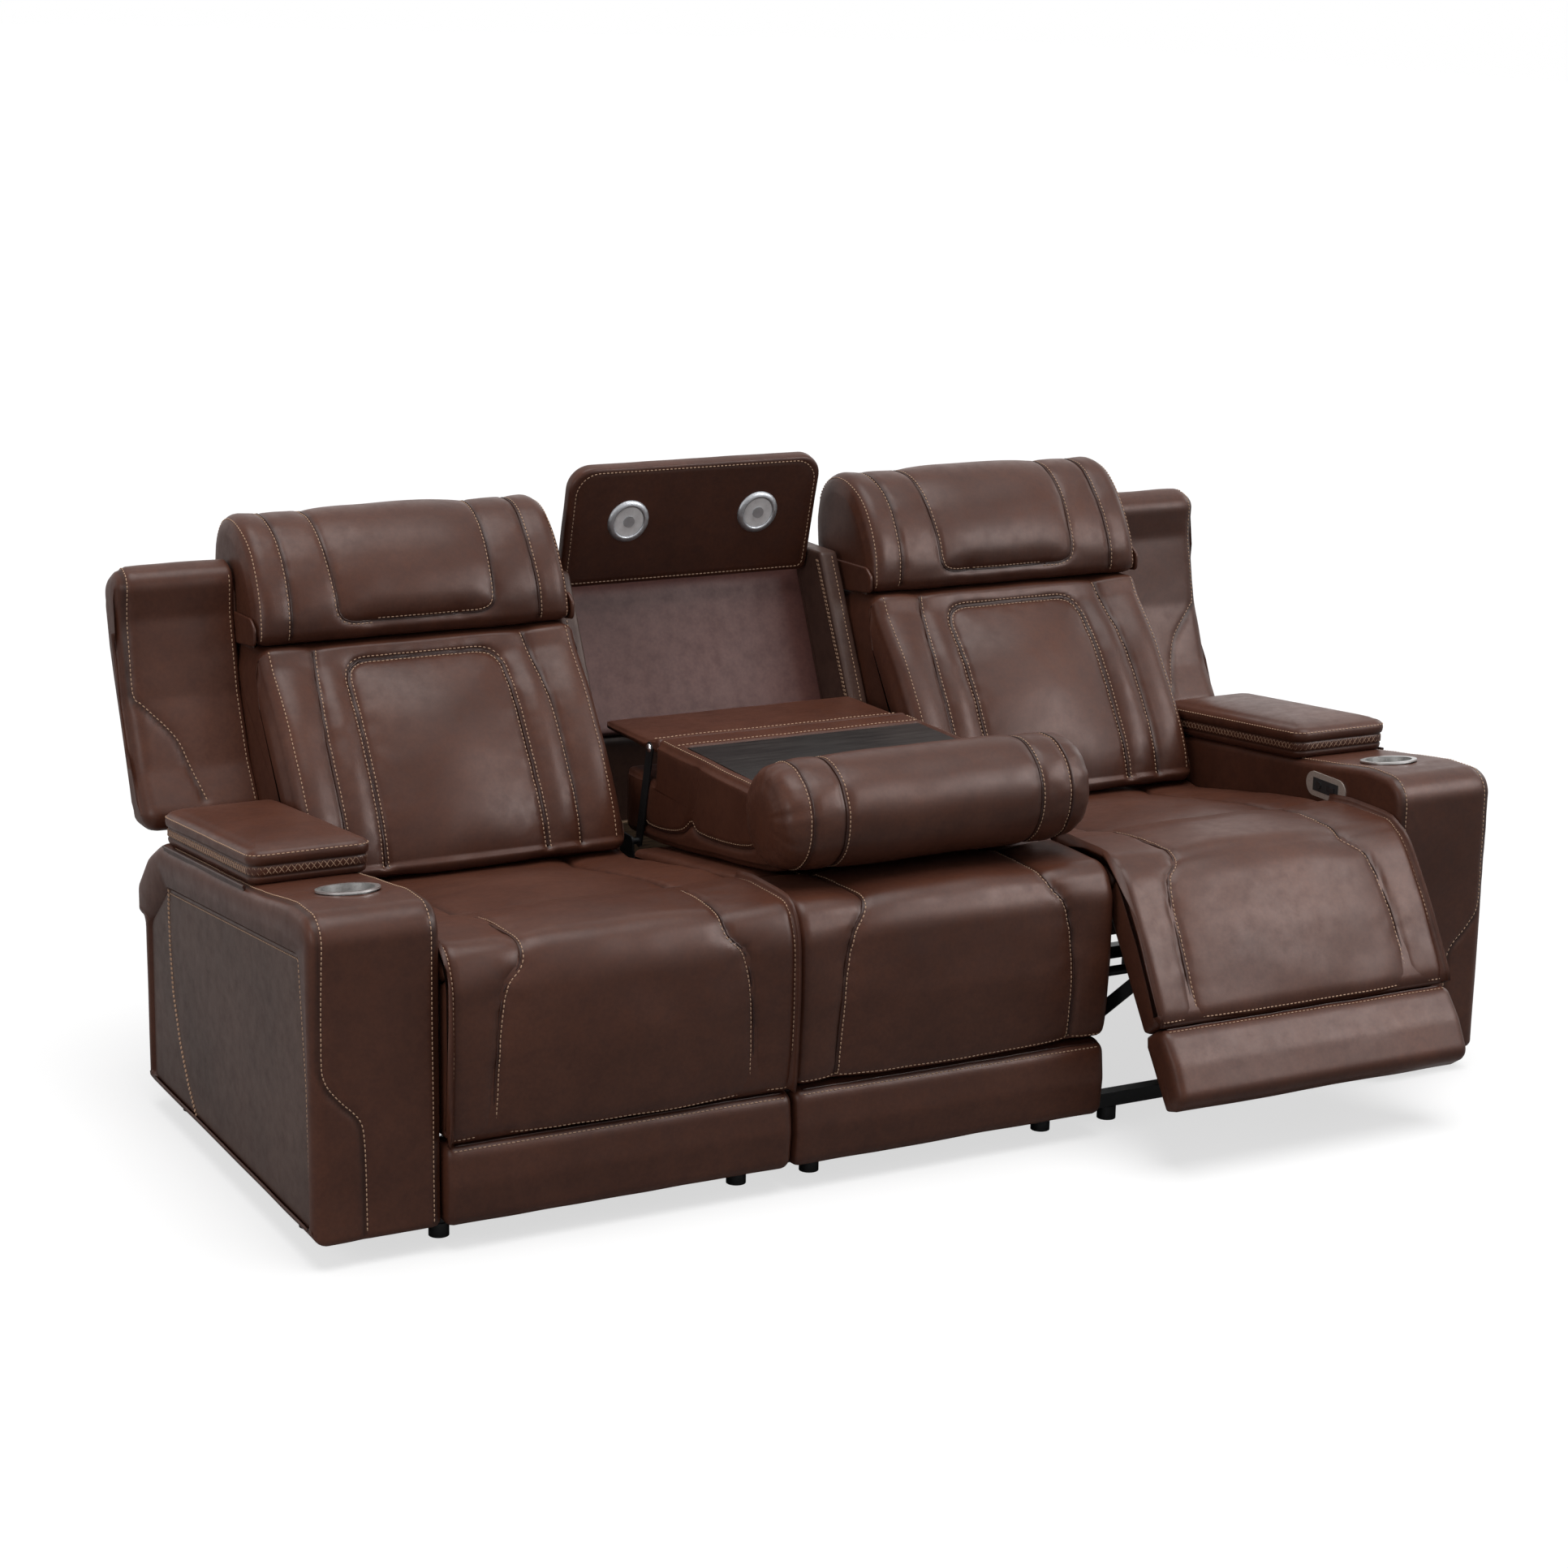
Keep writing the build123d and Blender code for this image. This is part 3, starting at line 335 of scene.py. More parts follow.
# a closed outline from (a, b, radius) corners, sampled each step and four times wider where coarse says
def roundedLoop(corners, step, coarse=None):
    dense = []
    count = len(corners)
    for i, (a, b, radius) in enumerate(corners):
        here = np.array((a, b), float)
        before = np.array(corners[i - 1][:2]) - here
        after = np.array(corners[(i + 1) % count][:2]) - here
        lengthBefore, lengthAfter = np.linalg.norm(before), np.linalg.norm(after)
        before, after = before / lengthBefore, after / lengthAfter
        half = 0.5 * math.acos(np.clip(before @ after, -1, 1))
        reach = min(radius / max(math.tan(half), 1e-6), lengthBefore * 0.495, lengthAfter * 0.495)
        radiusUsed = reach * math.tan(half)
        if half > math.radians(89) or radiusUsed < 0.5:
            dense.append(here)
            continue
        middle = (before + after) / np.linalg.norm(before + after)
        centre = here + middle * radiusUsed / math.sin(half)
        first, second = here + before * reach - centre, here + after * reach - centre
        sweep = math.pi - 2 * half
        for t in np.linspace(0, 1, 16):
            dense.append(centre + (math.sin((1 - t) * sweep) * first + math.sin(t * sweep) * second) / math.sin(sweep))
    closed = np.vstack([dense, dense[:1]])
    gaps = np.linalg.norm(np.diff(closed, axis=0), axis=1)
    along = np.concatenate([[0], np.cumsum(gaps)])
    total = along[-1]
    fineS = np.linspace(0, total, int(total) + 1)
    fine = np.stack([np.interp(fineS, along, closed[:, k]) for k in (0, 1)], axis=1)
    spacing = np.full(len(fine), float(step))
    if coarse is not None:
        spacing[coarse(fine[:, 0], fine[:, 1])] = step * 4.0
    weight = np.concatenate([[0], np.cumsum(0.5 * (1 / spacing[1:] + 1 / spacing[:-1]) * np.diff(fineS))])
    number = max(int(round(weight[-1])), 12)
    s = np.interp(np.arange(number) * weight[-1] / number, weight, fineS)
    points = np.stack([np.interp(s, fineS, fine[:, k]) for k in (0, 1)], axis=1)
    return finishLoop(points, s, total)


# adds smoothed outward normals to the points and their distances round the loop
def finishLoop(points, s, total):
    tangent = unit(np.roll(points, -1, axis=0) - np.roll(points, 1, axis=0))
    area = np.sum(points[:, 0] * np.roll(points[:, 1], -1) - np.roll(points[:, 0], -1) * points[:, 1])
    turn = 1.0 if area > 0 else -1.0
    normal = np.stack([tangent[:, 1] * turn, -tangent[:, 0] * turn], axis=1)
    for _ in range(2):
        normal = unit(normal * 0.5 + np.roll(normal, 1, axis=0) * 0.25 + np.roll(normal, -1, axis=0) * 0.25)
    return dict(points=points, normals=normal, s=s, total=total)


# the outline of a sheet: an open run of corners and its own back, thick apart
def strapLoop(corners, thick, step):
    outer = []
    for i, (a, b, radius) in enumerate(corners):
        here = np.array((a, b), float)
        if i in (0, len(corners) - 1):
            outer.append(here)
            continue
        before, after = np.array(corners[i - 1][:2]) - here, np.array(corners[i + 1][:2]) - here
        lengthBefore, lengthAfter = np.linalg.norm(before), np.linalg.norm(after)
        before, after = before / lengthBefore, after / lengthAfter
        half = 0.5 * math.acos(np.clip(before @ after, -1, 1))
        reach = min(radius / max(math.tan(half), 1e-6), lengthBefore * 0.49, lengthAfter * 0.49)
        for t in np.linspace(0, 1, 12):
            first, second = here + before * reach * (1 - t), here + after * reach * t
            outer.append(first * (1 - t) + second * t)
    outer = np.array(outer)
    gaps = np.linalg.norm(np.diff(outer, axis=0), axis=1)
    along = np.concatenate([[0], np.cumsum(gaps)])
    s = np.linspace(0, along[-1], int(along[-1] / step) + 1)
    run = np.stack([np.interp(s, along, outer[:, k]) for k in (0, 1)], axis=1)
    heading = np.gradient(run, axis=0)
    heading /= np.linalg.norm(heading, axis=1)[:, None]
    inward = np.stack([-heading[:, 1], heading[:, 0]], axis=1)
    back = (run + inward * thick)[::-4]
    points = np.vstack([run, back])
    gaps = np.linalg.norm(np.diff(np.vstack([points, points[:1]]), axis=0), axis=1)
    s = np.concatenate([[0], np.cumsum(gaps)])
    loop = finishLoop(points, s[:-1], s[-1])
    loop["outerLength"] = along[-1]
    return loop


# places along a piece, closer near both ends
def stations(c0, c1, step, near=(2.0, 5.0, 9.0, 14.0, 20.0, 27.0)):
    inner = np.linspace(c0 + near[-1] + step, c1 - near[-1] - step, max(int((c1 - c0 - 2 * near[-1]) / step), 2))
    return np.concatenate([[c0], c0 + np.array(near), inner, c1 - np.array(near)[::-1], [c1]])


# the distance round the loop at the point nearest (a, b)
def sAt(loop, a, b):
    gap = np.linalg.norm(loop["points"] - np.array((a, b)), axis=1)
    return loop["s"][int(np.argmin(gap))]


# a smooth curve through the points
def smoothPath(points, step=8.0):
    points = [np.array(p, float) for p in points]
    points = [2 * points[0] - points[1]] + points + [2 * points[-1] - points[-2]]
    out = []
    for p0, p1, p2, p3 in zip(points, points[1:], points[2:], points[3:]):
        number = max(int(np.linalg.norm(p2 - p1) / step), 2)
        for t in np.linspace(0, 1, number, endpoint=False):
            out.append(0.5 * (2 * p1 + (p2 - p0) * t + (2 * p0 - 5 * p1 + 4 * p2 - p3) * t * t
                              + (3 * p1 - p0 - 3 * p2 + p3) * t ** 3))
    out.append(points[-2])
    return np.array(out)


# points along the path, one for each pitch
def evenPath(path, pitch):
    gaps = np.linalg.norm(np.diff(path, axis=0), axis=1)
    along = np.concatenate([[0], np.cumsum(gaps)])
    targets = np.arange(pitch / 2, along[-1], pitch)
    return np.stack([np.interp(targets, along, path[:, k]) for k in range(path.shape[1])], axis=1)


def pathDistance(u, v, path):
    best = np.full(u.shape, 1e9)
    for (a0, b0), (a1, b1) in zip(path[:-1], path[1:]):
        du, dv = a1 - a0, b1 - b0
        length = du * du + dv * dv + 1e-12
        t = np.clip(((u - a0) * du + (v - b0) * dv) / length, 0, 1)
        best = np.minimum(best, np.hypot(u - a0 - t * du, v - b0 - t * dv))
    return best


# smooth noise of about -1 to 1
def ripple(u, v, seed):
    angles = np.random.default_rng(seed).uniform(0, 2 * math.pi, (64, 64))
    u, v = np.broadcast_arrays(np.asarray(u, float), np.asarray(v, float))
    i, j = np.floor(u).astype(int), np.floor(v).astype(int)
    fu, fv = u - i, v - j
    su, sv = fu ** 3 * (fu * (fu * 6 - 15) + 10), fv ** 3 * (fv * (fv * 6 - 15) + 10)
    total = 0
    for di, wu in ((0, 1 - su), (1, su)):
        for dj, wv in ((0, 1 - sv), (1, sv)):
            turn = angles[(i + di) % 64, (j + dj) % 64]
            total = total + wu * wv * (np.cos(turn) * (fu - di) + np.sin(turn) * (fv - dj))
    return total * 1.6


# how far a rounded end draws in at this distance from it
def roundEnd(distance, radius):
    t = np.clip(1 - distance / radius, 0, 1)
    return radius * (1 - (1 - t ** 2) ** 0.5)


# the faces between stacked rings of points, and back to the first ring where closed
def ringFaces(rings, sides, closed=False):
    faces = []
    for i in range(rings if closed else rings - 1):
        here, there = i * sides, (i + 1) % rings * sides
        faces += [(here + j, here + (j + 1) % sides, there + (j + 1) % sides, there + j) for j in range(sides)]
    return faces


# A padded piece: an outline in (a, b) carried along stations c, each point pressed in by depth.
class Form:
    def __init__(self, loop, c, across=lambda a, c, b: np.stack([c, a, b], axis=-1)):
        self.loop, self.c, self.across = loop, np.array(c, float), across
        self.s = loop["s"]
        self.u = self.c[:, None] + 0 * self.s[None, :]
        self.v = self.s[None, :] + 0 * self.c[:, None]
        self.depth = np.zeros(self.u.shape)
        # shade painted into the seam creases, later written out as the "seam" attribute
        self.shade = np.zeros(self.u.shape)
        self.verts, self.faces, self.slots, self.seam = [], [], [], []

    def distance(self, path):  # from each grid point to the path, also across the loop's start
        total = self.loop["total"]
        path = np.asarray(path, float)
        found = pathDistance(self.u, self.v, path)
        for shift in (-total, total):
            if path[:, 1].min() + shift < total and path[:, 1].max() + shift > 0:
                found = np.minimum(found, pathDistance(self.u, self.v, path + np.array((0, shift))))
        return found

    def ends(self, low, high=None):
        high = low if high is None else high
        for reach, gap in ((low, self.u - self.c[0]), (high, self.c[-1] - self.u)):
            if reach > 0:
                self.depth = self.depth + roundEnd(gap, reach)
        return self

    # deep and narrow shape the crease itself, broad and wide the valley round it
    def sew(self, path, deep=3.0, narrow=5.0, broad=4.0, wide=28.0, pucker=1.0, seed=1, shade=1.0):
        gap = self.distance(path)
        self.depth = self.depth + valley(gap, deep, narrow, broad, wide)
        if pucker:
            self.depth = self.depth + pucker * np.exp(-gap / 20.0) * ripple(self.v / 26.0, self.u / 26.0, seed)
        # painted shade along the crease, darkest in its middle
        self.shade = np.maximum(self.shade, shade * np.exp(-(gap / 4.5) ** 2))
        return self

    def swell(self, amount, where=1.0):
        self.depth = self.depth - amount * where
        return self

    def soften(self, amount, seed, wave=85.0):
        self.depth = self.depth + amount * ripple(self.u / wave, self.v / wave, seed)
        return self

    def form(self):
        ab = self.loop["points"][None, :, :] - self.loop["normals"][None, :, :] * self.depth[:, :, None]
        self.grid = self.across(ab[:, :, 0], self.u, ab[:, :, 1])
        return self

    def at(self, c, s):  # places and outward normals on the finished grid
        n = len(self.s)
        fi = np.clip(np.interp(c, self.c, np.arange(len(self.c))), 0, len(self.c) - 1.001)
        ring = np.concatenate([self.s, [self.loop["total"]]])
        fj = np.interp(s % self.loop["total"], ring, np.arange(n + 1))
        i, j = fi.astype(int), np.minimum(fj.astype(int), n - 1)
        ti, tj = (fi - i)[:, None], (fj - j)[:, None]
        g = self.grid
        k = (j + 1) % n
        a, b, p, q = g[i, j], g[i + 1, j], g[i, k], g[i + 1, k]
        place = a * (1 - ti) * (1 - tj) + b * ti * (1 - tj) + p * (1 - ti) * tj + q * ti * tj
        return place, unit(np.cross(b - a + q - p, p - a + q - b) * self.outward)

    def orient(self):
        g = self.grid
        mid = len(self.c) // 2
        loop = self.loop
        flat = self.across(loop["normals"][:, 0], np.zeros(len(loop["s"])), loop["normals"][:, 1])
        step = g[min(mid + 1, len(self.c) - 1)] - g[mid]
        turn = np.roll(g[mid], -1, axis=0) - g[mid]
        self.outward = 1.0 if np.sum(np.cross(step, turn) * flat) > 0 else -1.0
        return self

    # caps are (share of the end ring, how far it stands out); endRings replace them at the far end
    def skin(self, caps=(), slot=0, endRings=()):
        self.orient()
        count, n = self.grid.shape[:2]
        base = len(self.verts)
        self.verts.extend(self.grid.reshape(-1, 3))
        self.seam.extend(self.shade.reshape(-1))
        flip = self.outward < 0
        for i in range(count - 1):
            for j in range(n):
                k = (j + 1) % n
                quad = (base + i * n + j, base + (i + 1) * n + j, base + (i + 1) * n + k, base + i * n + k)
                self.faces.append(quad[::-1] if flip else quad)
                self.slots.append(slot)
        for end, sign in ((0, -1), (count - 1, 1)):
            ring = self.grid[end]
            axis = np.zeros(3)
            axis[:] = self.across(np.zeros(1), np.ones(1) * sign, np.zeros(1))[0]
            centre = ring.mean(axis=0)
            previous = [base + end * n + j for j in range(n)]
            outside = (sign > 0) != flip
            rings = [centre + (ring - centre) * share for share, _ in caps]
            rings = [flat + np.outer(rise(flat) if callable(rise) else np.full(n, rise), axis)
                     for flat, (_, rise) in zip(rings, caps)]
            if sign > 0 and endRings:
                rings = list(endRings)
            for nextRing in rings:
                start = len(self.verts)
                self.verts.extend(nextRing)
                self.seam.extend([0.0] * n)
                current = [start + j for j in range(n)]
                for j in range(n):
                    k = (j + 1) % n
                    quad = (previous[j], current[j], current[k], previous[k])
                    self.faces.append(quad if outside else quad[::-1])
                    self.slots.append(slot)
                previous = current
            self.faces.append(tuple(previous[::-1]) if outside else tuple(previous))
            self.slots.append(slot)
        return self

    def addShape(self, verts, faces, slot):
        base = len(self.verts)
        self.verts.extend(verts)
        self.seam.extend([0.0] * len(verts))
        self.faces.extend(tuple(base + i for i in face) for face in faces)
        self.slots.extend([slot] * len(faces))

    def stitch(self, path, sides=(4.0,), pitch=8.2, length=6.2, width=1.05, rise=0.5, slot=1):
        even = evenPath(np.asarray(path, float), pitch)
        if len(even) < 3:
            return self
        heading = unit(np.gradient(even, axis=0))
        for side in sides:
            off = even + np.stack([-heading[:, 1], heading[:, 0]], axis=1) * side
            place, normal = self.at(off[:, 0], off[:, 1])
            ahead, _ = self.at(off[:, 0] + heading[:, 0] * 2, off[:, 1] + heading[:, 1] * 2)
            tangent = unit(ahead - place)
            binormal = np.cross(tangent, normal)
            for p, t, n, b in zip(place, tangent, normal, binormal):
                dash(self, p + n * rise, t * length / 2, b * width, n * width, slot)
        return self

    def tube(self, path, radius=1.6, rise=0.0, slot=2, pitch=6.0, sides=6):
        even = evenPath(np.asarray(path, float), pitch)
        if len(even) < 3:
            return self
        place, normal = self.at(even[:, 0], even[:, 1])
        return self.sweep(place + normal * rise, normal, radius, slot, sides)

    def sweep(self, place, normal, radius, slot=2, sides=6):
        tangent = unit(np.gradient(place, axis=0))
        binormal = np.cross(tangent, normal)
        angles = np.arange(sides) * 2 * math.pi / sides
        ring = place[:, None] + radius * (normal[:, None] * np.cos(angles)[None, :, None]
                                          + binormal[:, None] * np.sin(angles)[None, :, None])
        count = len(place)
        faces = ringFaces(count, sides)
        faces.append(tuple(range(sides))[::-1])
        faces.append(tuple((count - 1) * sides + j for j in range(sides)))
        self.addShape(list(ring.reshape(-1, 3)), faces, slot)
        return self

    def make(self, name, slots=None, mirror=False, move=None):
        verts = np.array(self.verts, float)
        if move is not None:
            verts = move(verts)
        if mirror:
            verts[:, 0] *= -1
        verts[:, 1] += frameShiftY
        mesh = bpy.data.meshes.new(name)
        faces = [face[::-1] for face in self.faces] if mirror else self.faces
        mesh.from_pydata([tuple(v / 1000.0) for v in verts], [], faces)
        mesh.polygons.foreach_set("use_smooth", [True] * len(mesh.polygons))
        mesh.polygons.foreach_set("material_index", self.slots)
        # the painted crease shade goes to the leather as the "seam" attribute
        seam = mesh.attributes.new("seam", "FLOAT", "POINT")
        seam.data.foreach_set("value", np.clip(np.array(self.seam, np.float32), 0, 1))
        for slotName in slots or softSlots:
            mesh.materials.append(materials[slotName])
        mesh.update()
        piece = bpy.data.objects.new(name, mesh)
        bpy.context.scene.collection.objects.link(piece)
        return piece


# one stitch: a spindle with four sides
def dash(form, centre, half, wide, high, slot):
    ring = [centre + wide, centre + high, centre - wide, centre - high]
    verts = [centre - half] + [r - half * 0.6 for r in ring] + [r + half * 0.6 for r in ring] + [centre + half]
    faces = [(0, 1 + (j + 1) % 4, 1 + j) for j in range(4)]
    faces += [(1 + j, 1 + (j + 1) % 4, 5 + (j + 1) % 4, 5 + j) for j in range(4)]
    faces += [(9, 5 + j, 5 + (j + 1) % 4) for j in range(4)]
    form.addShape(verts, faces, slot)


def bulge(distance, wide):
    return np.exp(-(distance / wide) ** 2)


def valley(distance, deep=3.0, narrow=5.0, broad=5.0, wide=30.0):
    return deep * np.exp(-(distance / narrow) ** 2) + broad * np.exp(-np.abs(distance) / wide)


def inRow(x, y, z):
    return x / 1000, (y + frameShiftY) / 1000, z / 1000


softSlots = ["leather", "thread", "piping"]
darkSlots = ["outer", "thread", "piping"]


def fasten(piece, body, replaced):
    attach(piece, body)
    if replaced:
        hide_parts(*replaced)


def settle(piece, body, replaced):
    fasten(piece, body, replaced)


def blankForm():
    return Form(roundedLoop([(0, 0, 0), (1, 0, 0), (1, 1, 0), (0, 1, 0)], 1.0), [0.0, 1.0])


makeCamera()
makeStudio()
print("camera and studio made")


seatPlan = dict(step=5.0, across=8.0, seamBack=187.0, seamHalf=(188.0, 180.0, 224.0, 229.0), skinThick=8.0,
                laneHalf=192.0, apronHalf=262.0, skinTop=(5.0, 503.0),
                skinEnd=dict(left=(-30.0, 455.0), right=(-36.8, 488.5)),
                cushion=[(-4, 490, 34), (-22, 442, 26), (62, 440, 2), (62, 384.3, 2), (690, 384.3, 8), (690, 428, 10),
                         (634, 428, 14), (596, 424, 40), (300, 478.5, 600), (150, 501, 200)],
                skin=[(193, 484, 0), (186, 498, 8), (120, 506, 200), (-16, 506, 52), (-44, 452, 120),
                      (-47, 330, 400), (-38, 200, 60), (-31, 180, 10), (-14, 176, 0)],
                pad=[(-30, 462, 10), (-36, 330, 200), (-24, 183.5, 20), (33, 183.5, 10), (33, 430, 10)],
                apron=[(64, 334, 3), (70, 334, 3), (72, 388, 3), (64, 388, 3)],
                roll=[(-31, 181.5, 26), (-38, 112, 80), (-31, 41, 24), (33, 41, 12), (33, 181.5, 12)])


def seamX(points, outline):
    return smoothPath([(x, sAt(outline, a, b)) for x, a, b in points])


def longPath(x, s0, s1, step=8.0):
    count = int(abs(s1 - s0) / step) + 2
    return np.stack([np.full(count, float(x)), np.linspace(s0, s1, count)], axis=1)


def crossPath(c0, c1, s, step=8.0):
    count = int(abs(c1 - c0) / step) + 2
    return np.stack([np.linspace(c0, c1, count), np.full(count, float(s))], axis=1)


# turned about the line across the sofa through centre (y, z)
def swung(verts, centre, angle):
    y, z = verts[:, 1] - centre[0], verts[:, 2] - centre[1]
    c, s = np.cos(angle), np.sin(angle)
    out = verts.copy()
    out[:, 1] = centre[0] + y * c + z * s
    out[:, 2] = centre[1] - y * s + z * c
    return out


# the right skin drawn as it lies over the part-open footrest
def openSkin(verts):
    (y, z), (endY, endZ) = seatPlan["skinTop"], seatPlan["skinEnd"]["left"]
    down, back = z - endZ, y - endY
    share = ((y - verts[:, 1]) * back + (z - verts[:, 2]) * down) / (back * back + down * down)
    share = np.clip(share, 0, 1)
    return swung(verts, footPivot, share * share * (3 - 2 * share) * rightOpen)


def makeSeat(side):
    left = side == "left"
    loop = roundedLoop(seatPlan["cushion"], seatPlan["step"],
                       lambda a, b: (b < 425) | ((a > -30) & (b < 460) & (a < 70)))
    form = Form(loop, stations(seatInner, seatOuter, seatPlan["across"]))
    form.ends(15)
    top = [sAt(loop, seatPlan["seamBack"], 497), sAt(loop, 640, 428)]
    cross = crossPath(seatInner, seatOuter, top[0])
    form.sew(cross, 7.0, 6.0, 8.0, 42.0, 1.2, 3)
    for sign in (-1, 1):
        path = longPath(seatCentre + sign * seatPlan["laneHalf"], top[0], top[1])
        form.sew(path, 4.0, 5.0, 8.0, 38.0, 1.6, 5 + sign)
    form.swell(9.0, bulge(form.u - seatCentre, 150.0) * bulge(form.v - sAt(loop, 420, 463), 150.0))
    form.soften(1.6, 11 if left else 19).form().skin()
    piece = form.make(side + "SeatCushion", mirror=left)
    settle(piece, side + "_seat", [side + "_seat_cushion"])

    loop = strapLoop(seatPlan["skin"], seatPlan["skinThick"], seatPlan["step"])
    form = Form(loop, stations(seatInner + 1, seatOuter - 1, seatPlan["across"]))
    outer = form.v < loop["outerLength"]
    form.ends(17)
    h0, h1, h2, h3 = seatPlan["seamHalf"]
    marks = [(h0, 186, 498), (0.5 * (h0 + h1) - 1, 80, 504), (h1, -30, 480), (h2 - 14, -44, 440), (h2, -47, 370),
             (h3, -42, 260), (h3 + 1, -33, 183)]
    paths = [seamX([(seatCentre + sign * h, a, b) for h, a, b in marks], loop) for sign in (-1, 1)]
    for k, path in enumerate(paths):
        form.sew(path, 4.0, 4.5, 8.0, 36.0, 1.5, 21 + k + (4 if left else 0))
    form.depth = form.depth + np.where(outer, 6.0 * np.exp(-form.v / 20.0), 0.0)
    gapFoot = np.abs(loop["outerLength"] - 10 - form.v)
    form.depth = form.depth + np.where(outer, 7.0 * np.exp(-gapFoot / 24.0), 0.0)
    puckers = 1.2 * np.exp(-gapFoot / 60.0) * ripple(form.u / 60.0, form.v / 150.0, 31 + left)
    form.depth = form.depth + np.where(outer, puckers, 0.0)
    middle = bulge(form.u - seatCentre, 170.0)
    form.swell(10.0, middle * bulge(form.v - sAt(loop, -47, 340), 130.0) * outer)
    form.swell(5.0, middle * bulge(form.v - sAt(loop, 60, 504), 70.0) * outer)
    form.soften(1.4, 41 + left)
    form.depth = np.where(outer, form.depth, np.clip(form.depth, -2, 17))
    form.form().skin()
    for sign, path in zip((-1, 1), paths):
        form.stitch(path, (5.0 * sign,))
        form.tube(path, 1.6, 0.6)
    form.stitch(crossPath(seatInner + 8, seatOuter - 8, loop["outerLength"] - 22), (0.0,))
    for x in (seatInner + 7, seatOuter - 7):
        form.stitch(longPath(x, 12, loop["outerLength"] - 24), (0.0,))
    piece = form.make(side + "SeatSkin", mirror=left, move=None if left else openSkin)
    x = -seatCentre if left else seatCentre
    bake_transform(piece)

    half = seatPlan["apronHalf"]
    form = Form(roundedLoop(seatPlan["apron"], 8.0), stations(seatCentre - half, seatCentre + half, 16.0, (2.0, 5.0)))
    form.ends(3)
    form.depth = form.depth + 1.2 * ripple(form.u / 60.0, form.v / 90.0, 49 + left)
    form.form().skin()
    piece = form.make(side + "Apron", darkSlots, mirror=left)
    settle(piece, side + "_seat", [])

    lift = None if left else lambda verts: swung(verts, footPivot, rightOpen)
    loop = roundedLoop(seatPlan["pad"], 9.0)
    form = Form(loop, stations(seatInner + 2, seatOuter - 2, 16))
    form.ends(14).form().skin()
    piece = form.make(side + "FootrestPad", mirror=left, move=lift)
    settle(piece, side + "_footrest", [side + "_footrest_pad"])
    makeRoll(side + "FootrestRoll", seatInner, seatOuter, side + "_footrest", side + "_footrest_roll", left, lift,
             51 + left)


def makeRoll(name, c0, c1, body, node, mirror, lift, seed):
    loop = roundedLoop(seatPlan["roll"], seatPlan["step"], lambda a, b: a > 15)
    form = Form(loop, stations(c0, c1, seatPlan["across"]))
    form.ends(15)
    top = sAt(loop, -24, 178)
    form.depth = form.depth + 2.5 * np.exp(-np.abs(form.v - sAt(loop, -20, 180)) / 10.0)
    form.depth = form.depth + 1.0 * np.exp(-np.abs(form.v - top) / 40.0) * ripple(form.u / 70.0, form.v / 200.0, seed)
    form.soften(1.3, seed + 3, 120.0).form().skin(caps=((0.86, 0.5), (0.5, 0.9)))
    form.stitch(crossPath(c0 + 14, c1 - 14, sAt(loop, -28, 172)), (0.0,))
    form.tube(crossPath(c0 + 14, c1 - 14, top), 1.8, 0.5)
    piece = form.make(name, mirror=mirror, move=lift)
    settle(piece, body, [node])


middlePlan = dict(outline=[(150, 498.5, 60), (-16, 502, 52), (-44, 450, 70), (-47, 330, 160), (-38, 200, 60),
                           (-31, 182, 12), (33, 182, 10), (33, 384.3, 8), (612, 384.3, 8), (612, 432, 14),
                           (600, 433.5, 60), (300, 475.5, 120)],
                  seamHalf=(176.0, 172.0, 208.0, 224.0, 229.0))


def makeMiddleSeat():
    h = middlePlan["seamHalf"]
    loop = roundedLoop(middlePlan["outline"], seatPlan["step"], lambda a, b: (b < 425) & (a > 10))
    form = Form(loop, stations(-middleHalf, middleHalf, seatPlan["across"]))
    form.ends(16)
    cross = crossPath(-middleHalf, middleHalf, sAt(loop, seatPlan["seamBack"], 493))
    form.sew(cross, 6.0, 6.0, 6.0, 38.0, 1.0, 61)
    marks = [(h[0] + 18, 600, 433.5), (h[0] + 14, 300, 475), (h[0] + 8, 187, 493), (h[0] + 2, 80, 499),
             (h[1] + 6, -20, 490), (h[2], -44, 440), (h[3], -47, 360), (h[4], -42, 250), (h[4] + 1, -34, 186)]
    total = loop["total"]
    paths = []
    for sign in (-1, 1):
        lengths = [sAt(loop, a, b) for _, a, b in marks]
        lengths = [s - total if s > lengths[-1] + 1 else s for s in lengths]
        paths.append(smoothPath([(sign * mark[0], s) for mark, s in zip(marks, lengths)]))
    for k, path in enumerate(paths):
        form.sew(path, 4.0, 4.5, 8.0, 36.0, 1.5, 63 + k)
    foot = np.abs(form.v - sAt(loop, -31, 182))
    puckers = 1.2 * np.exp(-foot / 60.0) * ripple(form.u / 60.0, form.v / 150.0, 74)
    form.depth = form.depth + 6.0 * np.exp(-foot / 22.0) + puckers
    form.swell(9.0, bulge(form.u, 170.0) * bulge(form.v - sAt(loop, -47, 330), 120.0))
    form.swell(4.0, bulge(form.u, 150.0) * bulge(form.v - sAt(loop, 60, 500), 70.0))
    form.soften(1.5, 67).form().skin()
    for sign, path in zip((-1, 1), paths):
        form.stitch(path, (5.0 * sign,))
        form.tube(path, 1.6, 0.6)
    form.stitch(crossPath(-middleHalf + 8, middleHalf - 8, sAt(loop, -34, 192)), (0.0,))
    piece = form.make("middleSeatCushion")
    settle(piece, "root", ["middle_seat_cushion", "middle_front_pad"])
    makeRoll("middleFrontRoll", -middleHalf, middleHalf, "root", "middle_front_roll", False, None, 57)


for side in ("left", "right"):
    makeSeat(side)
makeMiddleSeat()
print("seats made")


